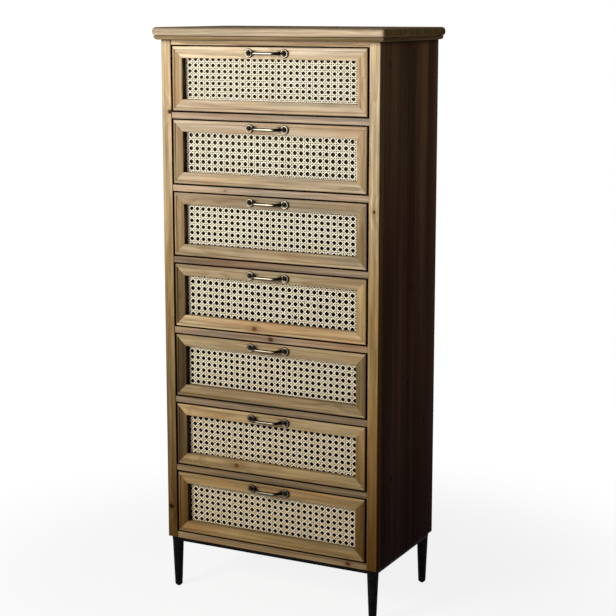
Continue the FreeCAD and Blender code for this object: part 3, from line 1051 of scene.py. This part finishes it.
@dataclass
class Casework:
    """The case: top, mouldings, stiles, rails, planked sides, back, bottom and runners.

    Attributes:
        body: Body that the case is.
        ease: Rounding of the stiles' and the runners' edges, in metres.
        fine_ease: Rounding of the edges of mouldings, rails and plywood, in metres.
        joint_ease: Rounding of the edges of a side's planks, in metres.
        top_ease: Rounding of the edges of the top's planks, in metres.
        rail_count: Rails between drawers.
        side_joints: Joints of a side, as shares of its depth.
        top_joints: Joints of the top, as shares of its depth.
        brad_radius: Radius of a brad's head in the back, in metres.
        brad_height: Height of a brad's head, in metres.
        brad_taper: Radius of the head's top as a share of the other.
        brad_inset: Distance of the brads from the edge of the back, in metres.
        brad_rows: Brads along each long edge.
        brad_sides: Faces round a brad's head.
    """

    body: str = "case"
    ease: float = 0.7 * MM
    fine_ease: float = 0.3 * MM
    joint_ease: float = 0.35 * MM
    top_ease: float = 0.12 * MM
    rail_count: int = 6
    side_joints: tuple[float, ...] = (0.17, 0.36, 0.58, 0.81)
    top_joints: tuple[float, ...] = (0.31, 0.66)
    brad_radius: float = 1.6 * MM
    brad_height: float = 0.5 * MM
    brad_taper: float = 0.9
    brad_inset: float = 4.0 * MM
    brad_rows: int = 9
    brad_sides: int = 12

    def build(self) -> None:
        """Dresses every piece of the case."""
        make_planks("top_board", self.body, TOP_WOOD, self.top_ease, self.top_joints)
        make_boards("top_moulding", self.body, MOULDING_SHADOW_WOOD, self.fine_ease)
        for side in ("left", "right"):
            make_boards(f"stile_{side}", self.body, CASE_WOOD, self.ease)
            make_planks(f"side_panel_{side}", self.body, SIDE_WOOD, self.joint_ease, self.side_joints)
            make_boards(f"runners_{side}", self.body, INNER_WOOD, self.ease)
        make_boards("top_rail", self.body, TOP_RAIL_WOOD, self.fine_ease)
        rails = [f"divider_rail_{number}" for number in range(1, self.rail_count + 1)]
        for rail in [*rails, "bottom_rail"]:
            make_boards(rail, self.body, RAIL_WOOD, self.fine_ease)
        for sheet in ("case_bottom", "back_panel"):
            make_boards(sheet, self.body, PLYWOOD, self.fine_ease)
        self.build_brads()

    def build_brads(self) -> None:
        """Drives small nails along both long edges of the back."""
        low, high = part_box("back_panel")
        outline = plug(self.brad_radius, self.brad_height, self.brad_taper)
        heads = []
        for x in (low.x + self.brad_inset, high.x - self.brad_inset):
            for row in range(self.brad_rows):
                rise = (row + 0.5) / self.brad_rows * (high.z - low.z)
                centre = Vector((x, high.y - self.brad_height / 2, low.z + rise))
                heads.append(turned(outline, centre, BACKWARD, self.brad_sides))
        make_piece("back_brads", joined(heads), self.body, BLACK_STEEL)


@dataclass
class Base:
    """The steel base: its flat frame, four round legs and their glides.

    Attributes:
        body: Body that the base belongs to.
        corners: Names of the four legs.
        foot_radius: Radius just above the rounded foot, in metres.
        foot_round: Rounding of the foot, in metres.
        sides: Faces round a leg.
        round_steps: Faces across the rounded foot.
        frame_ease: Rounding of the frame's edges, in metres.
    """

    body: str = "case"
    corners: tuple[str, ...] = ("front_left", "front_right", "back_left", "back_right")
    foot_radius: float = 8.0 * MM
    foot_round: float = 3.5 * MM
    sides: int = 40
    round_steps: int = 6
    frame_ease: float = 0.6 * MM

    def build(self) -> None:
        """Dresses the frame, the legs and the glides."""
        bars = solids_of("base_frame")
        for bar in bars:
            ease_edges(bar, self.frame_ease)
        shade_flats(make_piece("base_frame_steel", joined(bars), self.body, BLACK_STEEL, ("base_frame",)))
        for corner in self.corners:
            self.build_leg(f"leg_{corner}")
        glides = frame["nodes"]["leg_glides"].data
        glides.materials.clear()
        glides.materials.append(material_of(GLIDE_PLASTIC))

    def build_leg(self, node: str) -> None:
        """Turns one tapered leg with a rounded foot.

        Args:
            node: CAD node of the leg.
        """
        low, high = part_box(node)
        height = high.z - low.z
        top_radius = (high.x - low.x) / 2
        centre = Vector(((low.x + high.x) / 2, (low.y + high.y) / 2, low.z))
        flat = self.foot_radius - self.foot_round
        foot = [(flat + self.foot_round * math.sin(turn), self.foot_round * (1 - math.cos(turn)))
                for turn in quarter(self.round_steps)]
        profile = [(0.0, 0.0), *foot, (top_radius, height), (0.0, height)]
        leg = turned(profile, centre, UPWARD, self.sides)
        make_piece(f"{node}_steel", leg, self.body, BLACK_STEEL, (node,))


@dataclass(frozen=True)
class CaneLay:
    """How the cane lies in one front.

    Attributes:
        across: Stretch of the pattern across the front.
        up: Stretch of the pattern up the front.
        breadth: Breadth of the strands against that of the usual ones.
        shift: Place of the pattern, in pitches across and up.
    """

    across: float
    up: float
    breadth: float
    shift: Pair


# The fronts from the top one down
CANE_LAYS = (CaneLay(0.994, 0.945, 1.32, (0.71, 0.79)), CaneLay(1.025, 1.068, 1.18, (0.74, 0.59)),
             CaneLay(0.994, 0.988, 1.04, (0.72, 0.90)), CaneLay(1.030, 1.080, 1.02, (0.72, 0.06)),
             CaneLay(0.983, 1.018, 0.95, (0.52, 0.48)), CaneLay(1.006, 1.024, 0.95, (0.82, 0.89)),
             CaneLay(0.994, 1.012, 0.96, (0.85, 0.38)))


@dataclass
class Weave:
    """Woven cane: upright and level pairs of strands with single strands on both slants.

    Attributes:
        pitch_x: Distance between upright pairs, in metres.
        pitch_z: Distance between level pairs, in metres.
        upright_spread: Half the distance between the strands of an upright pair, in metres.
        level_spread: Half the distance between the strands of a level pair, in metres.
        width: Width of a straight strand, in metres.
        slant_width: Width of a slanting strand, in metres.
        thickness: Thickness of a strand, in metres.
        crown: Width of a strand's upper side as a share of its width.
        rise: How far a straight strand goes over or under, in metres.
        slant_rise: How far a slanting strand goes, as a share of that.
        slant_steps: Points of a slanting strand in each pitch.
        low: Lowest corner of the panel that is woven.
        high: Highest corner of the panel that is woven.
        start: Place of the first crossing.
        draw: Source of the strands' tones.
        strands: Strands that have been laid.
    """

    pitch_x: float = 13.83 * MM
    pitch_z: float = 12.77 * MM
    upright_spread: float = 1.75 * MM
    level_spread: float = 1.53 * MM
    width: float = 1.25 * MM
    slant_width: float = 1.55 * MM
    thickness: float = 0.7 * MM
    crown: float = 0.68
    rise: float = 0.5 * MM
    slant_rise: float = 1.35
    slant_steps: int = 4
    low: Vector = field(init=False)
    high: Vector = field(init=False)
    start: Vector = field(init=False)
    draw: random.Random = field(init=False)
    strands: list[Solid] = field(init=False, default_factory=list)

    @classmethod
    def laid(cls, lay: CaneLay) -> "Weave":
        """Sizes a weave for one front.

        Args:
            lay: How the cane lies there.

        Returns:
            The weave, not yet woven.
        """
        spread = math.sqrt(lay.breadth)
        return cls(pitch_x=cls.pitch_x * lay.across, pitch_z=cls.pitch_z * lay.up,
                   upright_spread=cls.upright_spread * spread, level_spread=cls.level_spread * spread,
                   width=cls.width * lay.breadth, slant_width=cls.slant_width * lay.breadth)

    def build(self, low: Vector, high: Vector, shift: Pair, seed: str) -> Solid:
        """Weaves one panel.

        Args:
            low: Lowest corner of the panel's place.
            high: Highest corner of the panel's place.
            shift: Place of the pattern in the panel, in pitches across and up.
            seed: Name that settles the strands' tones.

        Returns:
            The mesh of all strands.
        """
        self.low, self.high = low, high
        self.start = Vector((low.x + shift[0] * self.pitch_x, (low.y + high.y) / 2,
                             low.z + shift[1] * self.pitch_z))
        self.draw = random.Random(seed)
        columns = math.ceil((high.x - low.x) / self.pitch_x) + 1
        rows = math.ceil((high.z - low.z) / self.pitch_z) + 1
        for run, count in ((Run.UPRIGHT, columns), (Run.LEVEL, rows)):
            for number in range(-1, count):
                for side in (-1, 1):
                    self.add_straight(run, number, side)
        for number in range(-rows - 2, columns + rows + 2):
            for run in (Run.RISING, Run.FALLING):
                self.add_slant(run, number)
        return joined(self.strands)

    def add_straight(self, run: Run, number: int, side: int) -> None:
        """Lays one strand of an upright or a level pair.

        Args:
            run: Upright or level.
            number: Number of the pair.
            side: Strand of the pair, -1 or 1.
        """
        columns = (Axis.ACROSS.value, self.pitch_x, self.upright_spread)
        rows = (Axis.UP.value, self.pitch_z, self.level_spread)
        upright = run is Run.UPRIGHT
        own, own_pitch, own_spread = columns if upright else rows
        other, other_pitch, other_spread = rows if upright else columns
        level = self.start[own] + number * own_pitch + side * own_spread
        if not self.low[own] + self.width / 2 < level < self.high[own] - self.width / 2:
            return
        first, last = self.low[other], self.high[other]
        over = (side if upright else -side) * self.rise
        places = [(first, 0.0)]
        for crossing in range(-1, math.ceil((last - first) / other_pitch) + 1):
            middle = self.start[other] + crossing * other_pitch
            places.extend([(middle - other_spread, -over), (middle + other_spread, over),
                           (middle + other_pitch / 2, 0.0)])
        places = [place for place in places if first <= place[0] <= last]
        places.append((last, 0.0))
        points = []
        for along, lift in places:
            point = self.start + FORWARD * lift
            point[own], point[other] = level, along
            points.append(point)
        self.lay_strand(points, self.width, 0.0)

    def add_slant(self, run: Run, number: int) -> None:
        """Lays one slanting strand, from edge to edge of the panel.

        Args:
            run: Rising or falling.
            number: Number of the strand.
        """
        way = 1 if run is Run.RISING else -1
        points = []
        pitches = math.ceil((self.high.z - self.low.z) / self.pitch_z) + 3
        for step in range(-self.slant_steps, self.slant_steps * pitches):
            share = step / self.slant_steps
            x = self.start.x + (number + 0.5 + way * share) * self.pitch_x
            z = self.start.z + share * self.pitch_z
            lift = way * self.slant_rise * self.rise * math.cos(2 * math.pi * (share + 0.5))
            if self.low.x < x < self.high.x and self.low.z < z < self.high.z:
                points.append(Vector((x, self.start.y - lift, z)))
        if len(points) > 2:
            self.lay_strand(points, self.slant_width, SLANT_START)

    def lay_strand(self, points: list[Vector], width: float, first_number: float) -> None:
        """Makes one flat strand with a crowned face along its points.

        Args:
            points: Middle line of the strand.
            width: Width of the strand, in metres.
            first_number: Least number that the strand can draw.
        """
        strip = bmesh.new()
        bmesh.ops.create_grid(strip, x_segments=len(points) - 1, y_segments=1, size=0.5)
        bmesh.ops.solidify(strip, geom=strip.faces[:], thickness=self.thickness)
        layer = strip.verts.layers.float_vector.new("strand")
        tone = first_number + self.draw.uniform(0.0, STRAND_NUMBERS)
        along = (points[-1] - points[0]).normalized()
        sideways = along.cross(BACKWARD).normalized()
        back_level = min(vert.co.z for vert in strip.verts)
        for vert in strip.verts:
            point = points[round((vert.co.x + 0.5) * (len(points) - 1))]
            is_face = vert.co.z > back_level + self.thickness / 2
            across = vert.co.y * width * (self.crown if is_face else 1.0)
            outward = FORWARD if is_face else BACKWARD
            vert[layer] = Vector(((point - points[0]).length, across, tone))
            vert.co = point + sideways * across + outward * (self.thickness / 2)
        bmesh.ops.recalc_face_normals(strip, faces=strip.faces)
        self.strands.append(strip)


@dataclass
class Pull:
    """Pull: a straight bar whose bent legs swell towards two round pads, each with a slotted screw.

    Attributes:
        pad_spacing: Distance between the pads' centres, in metres.
        pad_radius: Radius of a pad, in metres.
        pad_thickness: Thickness of a pad, in metres.
        pad_sides: Faces round a pad.
        pad_smooth: Largest angle between faces of the pull that shade as one, in degrees.
        rim: Width of the raised rim round a pad, in metres.
        rim_outline: Ways inwards as shares of the rim's width, and heights as shares of the thickness.
        dish: Depth of the dish inside the rim, in metres.
        dish_climb: How far the dish's darker tone climbs the rim, as a share of the rim's width.
        post_radius: Radius of the post behind a pad, in metres.
        post_length: Length of the post, in metres.
        post_bite: How far the post reaches into the pad, in metres.
        post_sides: Faces round a post.
        bow_offset: Distance from a pad's centre to the end of the bar, in metres.
        bar_radius: Radius of the bar in the middle, in metres.
        flare_radius: Radius of the bar at its ends, in metres.
        flare_length: Length of the flare, in metres.
        flare_flat: How much flatter the bar is at its ends, as a share.
        leg_angle: Slope of the bar's legs, in degrees.
        bend_radius: Radius of the bends between bar and legs, in metres.
        sides: Faces round the bar.
        bend_steps: Faces along a bend.
        leg_steps: Faces along a leg.
        screw_radius: Radius of a screw's head, in metres.
        screw_height: Height of the dome of a screw's head, in metres.
        screw_edge: Height of the straight edge under the dome, in metres.
        screw_bite: How far a screw's head reaches into the pad, in metres.
        screw_steps: Faces up the dome.
        screw_sides: Faces round a screw's head.
        slot_width: Width of a screw's slot, in metres.
        slot_floor: Height of the slot's floor, in metres.
        slot_floor_share: Radius of the slot's floor as a share of the head's.
        slot_turns: Turn of the slots in degrees: that of all, more with each drawer, and to each side.
        height: Height of the pull on the chest.
        front: Place of the bar's front line, from front to back.
        face: Place of the drawer's face, from front to back.
    """

    pad_spacing: float = 80.0 * MM
    pad_radius: float = 8.5 * MM
    pad_thickness: float = 3.0 * MM
    pad_sides: int = 32
    pad_smooth: float = 50.0
    rim: float = 2.6 * MM
    rim_outline: tuple[Pair, ...] = ((0.0, 0.55), (0.12, 0.82), (0.4, 1.0), (0.7, 0.97))
    dish: float = 0.9 * MM
    dish_climb: float = 0.2
    post_radius: float = 5.0 * MM
    post_length: float = 5.0 * MM
    post_bite: float = 0.4 * MM
    post_sides: int = 24
    bow_offset: float = 8.0 * MM
    bar_radius: float = 2.9 * MM
    flare_radius: float = 4.2 * MM
    flare_length: float = 14.0 * MM
    flare_flat: float = 0.3
    leg_angle: float = 60.0
    bend_radius: float = 10.0 * MM
    sides: int = 16
    bend_steps: int = 7
    leg_steps: int = 5
    screw_radius: float = 4.0 * MM
    screw_height: float = 2.2 * MM
    screw_edge: float = 0.5 * MM
    screw_bite: float = 0.1 * MM
    screw_steps: int = 6
    screw_sides: int = 28
    slot_width: float = 0.9 * MM
    slot_floor: float = 0.9 * MM
    slot_floor_share: float = 0.96
    slot_turns: Triple = (24.0, 41.0, 67.0)
    height: float = field(init=False)
    front: float = field(init=False)
    face: float = field(init=False)

    def build(self, number: int) -> None:
        """Makes the pull of one drawer.

        Args:
            number: Number of the drawer, counted from the top.
        """
        body = f"drawer_{number}"
        node = f"{body}_pull"
        low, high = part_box(node)
        self.height = (low.z + high.z) / 2
        self.front = low.y
        self.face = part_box(f"{body}_frame")[0].y
        metal = [self.bow()]
        screws = []
        first, by_drawer, by_side = self.slot_turns
        for side in (-1, 1):
            centre = Vector((side * self.pad_spacing / 2, self.face, self.height))
            metal.append(self.pad(centre))
            metal.append(self.post(centre))
            screws.extend(self.screw(centre, math.radians(first + by_drawer * number + by_side * side)))
        brass = make_piece(f"{node}_brass", joined(metal), body, BRASS, (node,), self.pad_smooth)
        brass.data.materials.append(material_of(DARK_BRASS))
        make_piece(f"{body}_screws", joined(screws), body, SCREW_STEEL)

    def stations(self) -> list[tuple[float, float, float, float]]:
        """Works out places along the bar, from its left end to its right end.

        Returns:
            For each place how far it is across, how far behind the bar's front line, its turn in radians,
            and the way that is left to the pad.
        """
        lean = math.radians(self.leg_angle)
        rise = self.face - self.pad_thickness / 2 - self.front - self.bar_radius
        leg = (rise - self.bend_radius * (1 - math.cos(lean))) / math.sin(lean)
        bend_end = self.pad_spacing / 2 - self.bow_offset - leg * math.cos(lean)
        half = []
        for step in range(self.bend_steps + 1):
            turn = lean * step / self.bend_steps
            across = bend_end - self.bend_radius * (math.sin(lean) - math.sin(turn))
            behind = self.bend_radius * (1 - math.cos(turn))
            half.append((across, behind, turn, leg + self.bend_radius * (lean - turn)))
        for step in range(1, self.leg_steps + 1):
            run = leg * step / self.leg_steps
            left = leg - run
            half.append((bend_end + run * math.cos(lean), rise - left * math.sin(lean), lean, left))
        return [(-across, behind, -turn, left) for across, behind, turn, left in reversed(half)] + half

    def bow(self) -> Solid:
        """Draws out the bar, straight in the middle, with legs that swell towards the pads.

        Returns:
            The closed mesh.
        """
        bar = bmesh.new()
        ring = bmesh.ops.create_circle(bar, cap_ends=True, segments=self.sides, radius=1.0)["verts"]
        circle = [vert.co.copy() for vert in ring]
        for number, (across, behind, turn, left) in enumerate(self.stations()):
            if number:
                ring = self.drawn_out(bar, ring)
            swell = max(0.0, 1 - left / self.flare_length) ** 2
            radius = self.bar_radius + (self.flare_radius - self.bar_radius) * swell
            middle = Vector((across, self.front + self.bar_radius + behind, self.height))
            outward = Vector((math.sin(turn), -math.cos(turn), 0.0)) * (1 - self.flare_flat * swell)
            for vert, spot in zip(ring, circle):
                vert.co = middle + outward * (spot.x * radius) + UPWARD * (spot.y * radius)
        bmesh.ops.contextual_create(bar, geom=ring)
        bmesh.ops.recalc_face_normals(bar, faces=bar.faces)
        return bar

    @staticmethod
    def drawn_out(bar: Solid, ring: list[bmesh.types.BMVert]) -> list[bmesh.types.BMVert]:
        """Draws a new ring of corners out of the bar's end.

        Args:
            bar: Mesh of the bar.
            ring: Corners of its end.

        Returns:
            The new corners, in the order of those that they grew from.
        """
        edges = {edge for vert in ring for edge in vert.link_edges if all(end in ring for end in edge.verts)}
        grown = bmesh.ops.extrude_edge_only(bar, edges=list(edges))["geom"]
        fresh = {item for item in grown if isinstance(item, bmesh.types.BMVert)}
        return [next(edge.other_vert(vert) for edge in vert.link_edges if edge.other_vert(vert) in fresh)
                for vert in ring]

    def pad(self, centre: Vector) -> Solid:
        """Turns a round pad with a worn rim about a shallow, darker dish.

        Args:
            centre: Middle of the pad on the drawer's face.

        Returns:
            The closed mesh.
        """
        dish_radius = self.pad_radius - self.rim
        floor = self.pad_thickness - self.dish
        edge = [(self.pad_radius - inwards * self.rim, up * self.pad_thickness)
                for inwards, up in self.rim_outline]
        profile = [(0.0, 0.0), (self.pad_radius, 0.0), *edge, (dish_radius, floor), (0.0, floor)]
        pad = turned(profile, centre, FORWARD, self.pad_sides)
        for face in pad.faces:
            if (face.calc_center_median() - centre).xz.length < dish_radius + self.dish_climb * self.rim:
                face.material_index = 1
        return pad

    def post(self, centre: Vector) -> Solid:
        """The post that carries a pad on the moulding."""
        return turned(plug(self.post_radius, self.post_length), centre + FORWARD * self.post_bite, BACKWARD,
                      self.post_sides)

    def screw(self, centre: Vector, turn: float) -> list[Solid]:
        """Makes two halves of a domed head with the slot between them, on a thin disc.

        Args:
            centre: Middle of the pad on the drawer's face.
            turn: Turn of the slot, in radians.

        Returns:
            The meshes of one screw.
        """
        seat = centre + FORWARD * (self.pad_thickness - self.dish - self.screw_bite)
        dome = [(self.screw_radius * math.cos(lean), self.screw_edge + self.screw_height * math.sin(lean))
                for lean in quarter(self.screw_steps)]
        across = Vector((math.cos(turn), 0.0, math.sin(turn)))
        meshes = []
        for side in (-1, 1):
            half = turned([(0.0, 0.0), *dome], seat, FORWARD, self.screw_sides)
            cut_off(half, seat + across * (side * self.slot_width / 2), -across * side)
            meshes.append(half)
        disc = plug(self.screw_radius * self.slot_floor_share, self.slot_floor)
        meshes.append(turned(disc, seat, FORWARD, self.screw_sides))
        return meshes


@dataclass
class Drawer:
    """One drawer: moulded front, woven panel with its backing, box, floor and pull.

    Attributes:
        number: Number of the drawer, counted from the top.
        front_ease: Rounding of the edges of the front and the floor, in metres.
        border_step: Depth of the step inside the front's border, in metres.
        slope_end: Depth where the sloping face inside the border ends before it is planed, in metres.
        wall_start: Depth where the inner wall starts before the face is planed, in metres.
        slope_left: Share of the slope that the plane leaves.
        side_trim: Width trimmed off each side of the front, in metres.
        foot_trim: Width trimmed off its lower edge, in metres.
        trim_band: Width of the rounded edge that the trim moves inwards, in metres.
        box_ease: Rounding of the box's edges, in metres.
        cane_smooth: Largest angle between faces of the cane that shade as one, in degrees.
        backing_gap: Distance of the backing from the board behind it, in metres.
        backing_thickness: Thickness of the backing, in metres.
        pull: Sizes of the pull.
    """

    number: int
    front_ease: float = 0.5 * MM
    border_step: float = 1.2 * MM
    slope_end: float = 5.2 * MM
    wall_start: float = 7.0 * MM
    slope_left: float = 0.1
    side_trim: float = 1.5 * MM
    foot_trim: float = 0.7 * MM
    trim_band: float = 3.0 * MM
    box_ease: float = 0.8 * MM
    cane_smooth: float = 60.0
    backing_gap: float = 0.2 * MM
    backing_thickness: float = 0.4 * MM
    pull: Pull = field(default_factory=Pull)

    def build(self) -> None:
        """Dresses every piece of the drawer."""
        name = f"drawer_{self.number}"
        make_boards(f"{name}_frame", name, FRONT_WOOD, self.front_ease, UPRIGHT_WOOD, shaping=self.fit_front)
        make_boards(f"{name}_box", name, INNER_WOOD, self.box_ease)
        make_boards(f"{name}_floor", name, PLYWOOD, self.front_ease)
        low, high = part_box(f"{name}_cane")
        lay = CANE_LAYS[self.number - 1]
        cane = Weave.laid(lay).build(low, high, lay.shift, f"{name}_cane")
        make_piece(f"{name}_weave", cane, name, CANE, (f"{name}_cane",), self.cane_smooth)
        self.build_backing(name, low, high)
        self.pull.build(self.number)

    def fit_front(self, member: Solid) -> None:
        """Planes the sloping face of a front's moulding nearly flat and trims its outer edges.

        Args:
            member: Mesh of one side of the front.
        """
        low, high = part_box(f"drawer_{self.number}_frame")
        for vert in member.verts:
            deep = vert.co.y - low.y
            if self.border_step < deep < self.wall_start:
                slope = min(deep, self.slope_end) - self.border_step
                vert.co.y -= slope * (1 - self.slope_left)
            if vert.co.x < low.x + self.trim_band:
                vert.co.x += self.side_trim
            elif vert.co.x > high.x - self.trim_band:
                vert.co.x -= self.side_trim
            if vert.co.z < low.z + self.trim_band:
                vert.co.z += self.foot_trim

    def build_backing(self, name: str, low: Vector, high: Vector) -> None:
        """Stretches dark cloth over the board behind the cane; its darkness paints the shade seen through the
        holes.

        Args:
            name: Name of the drawer.
            low: Lowest corner of the cane.
            high: Highest corner of the cane.
        """
        size = Vector((high.x - low.x, self.backing_thickness, high.z - low.z))
        centre = (low + high) / 2
        centre.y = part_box(f"{name}_box")[0].y - self.backing_gap - self.backing_thickness / 2
        place = Matrix.Translation(centre) @ Matrix.Diagonal((*size, 1.0))
        cloth = bmesh.new()
        bmesh.ops.create_cube(cloth, size=1.0, matrix=place)
        backing = make_piece(f"{name}_backing", cloth, name, BACKING)


@dataclass
class Studio:
    """Pale floor, soft light and the camera of the picture.

    Attributes:
        floor_half: Half the width of the floor, in metres.
        floor_near: Distance from the chest where the floor is plainly lit, in metres.
        floor_far: Distance from the chest where the floor has become the white background, in metres.
        floor_white: Share of the white background in the floor near the chest.
        floor_colour: Colour of the floor.
        ambient: Strength of the light from all round.
        key_place: Place of the main lamp, in metres.
        key_target: Point that the main lamp faces.
        key_size: Width of the main lamp, in metres.
        key_power: Power of the main lamp, in watts.
        eye: Place of the camera, in metres.
        yaw: Turn of the camera to the left, in degrees.
        pitch: Lean of the camera downwards, in degrees.
        focal: Focal length in pixels of the picture.
        picture: Width of the picture, in pixels.
        axis_row: Row of the picture that the camera's axis meets.
        sensor: Width of the sensor, in millimetres.
    """

    floor_half: float = 30.0
    floor_near: float = 0.45
    floor_far: float = 1.1
    floor_white: float = 0.86
    floor_colour: Colour = (0.72, 0.71, 0.69)
    ambient: float = 0.20
    key_place: Triple = (-0.72, -1.90, 1.25)
    key_target: Triple = (0.0, -0.13, 0.90)
    key_size: float = 0.7
    key_power: float = 46.0
    eye: Triple = (1.5088, -2.8982, 1.2383)
    yaw: float = 27.139
    pitch: float = 9.802
    focal: float = 1574.5
    picture: float = 616.0
    axis_row: float = 280.0
    sensor: float = 36.0

    def build(self) -> None:
        """Sets up the floor, the light and the camera."""
        bpy.context.scene.view_settings.view_transform = "Standard"
        self.build_floor()
        self.build_world()
        self.build_key()
        self.build_camera()

    def build_floor(self) -> None:
        """Lays a wide pale floor, which the camera sees as white away from the chest."""
        shape = bmesh.new()
        bmesh.ops.create_grid(shape, x_segments=1, y_segments=1, size=self.floor_half)
        mesh = bpy.data.meshes.new("floor")
        shape.to_mesh(mesh)
        shape.free()
        mesh.materials.append(self.floor_material())
        floor = bpy.data.objects.new("floor", mesh)
        bpy.context.scene.collection.objects.link(floor)

    def floor_material(self) -> bpy.types.Material:
        """Makes a pale floor that keeps the chest's shadow and turns white further out.

        Returns:
            The finished material.
        """
        shader = new_shader("pale_floor")
        away = shader.length(shader.place())
        white_share = shader.step(away, self.floor_near, self.floor_far, self.floor_white, 1.0)
        share = shader.calc("MULTIPLY", shader.seen_plainly(), white_share)
        plain = shader.add("ShaderNodeBsdfDiffuse", {"Color": as_rgba(self.floor_colour)}).outputs[0]
        white = shader.add("ShaderNodeEmission", {"Color": as_rgba(WHITE), "Strength": 1.0}).outputs[0]
        both = shader.add("ShaderNodeMixShader", {0: share, 1: plain, 2: white}).outputs[0]
        shader.add("ShaderNodeOutputMaterial", {"Surface": both})
        return shader.owner

    def build_world(self) -> None:
        """Lights the chest evenly from all round, which the camera sees as white."""
        world = bpy.data.worlds.new("studio")
        bpy.context.scene.world = world
        shader = Shader(world)
        strength = shader.step(shader.seen_plainly(), 0.0, 1.0, self.ambient, 1.0)
        light = shader.add("ShaderNodeBackground", {"Color": as_rgba(WHITE), "Strength": strength}).outputs[0]
        shader.add("ShaderNodeOutputWorld", {"Surface": light})

    def build_key(self) -> None:
        """Hangs a square lamp at the upper front left."""
        lamp = bpy.data.lights.new("key", "AREA")
        lamp.shape = "SQUARE"
        lamp.size = self.key_size
        lamp.energy = self.key_power
        key = bpy.data.objects.new("key", lamp)
        key.location = self.key_place
        ahead = Vector(self.key_target) - Vector(self.key_place)
        key.rotation_euler = ahead.to_track_quat("-Z", "Y").to_euler()
        bpy.context.scene.collection.objects.link(key)

    def build_camera(self) -> None:
        """Sets the camera at the picture's viewpoint."""
        lens = bpy.data.cameras.new("camera")
        lens.sensor_width = self.sensor
        lens.lens = self.focal / self.picture * self.sensor
        lens.shift_y = (self.axis_row - self.picture / 2) / self.picture
        camera = bpy.data.objects.new("camera", lens)
        yaw, pitch = math.radians(self.yaw), math.radians(self.pitch)
        ahead = Vector((-math.sin(yaw) * math.cos(pitch), math.cos(yaw) * math.cos(pitch), -math.sin(pitch)))
        camera.location = self.eye
        camera.rotation_euler = ahead.to_track_quat("-Z", "Y").to_euler()
        bpy.context.scene.collection.objects.link(camera)
        bpy.context.scene.camera = camera


def main() -> None:
    """Builds the chest in order and reports each piece."""
    logging.basicConfig(level=logging.INFO, format="%(name)s: %(message)s")
    Studio().build()
    Casework().build()
    Base().build()
    drawers = [body for body in frame["bodies"] if body.startswith("drawer_")]
    for number in range(1, len(drawers) + 1):
        Drawer(number).build()


if __name__ == "__main__":
    main()
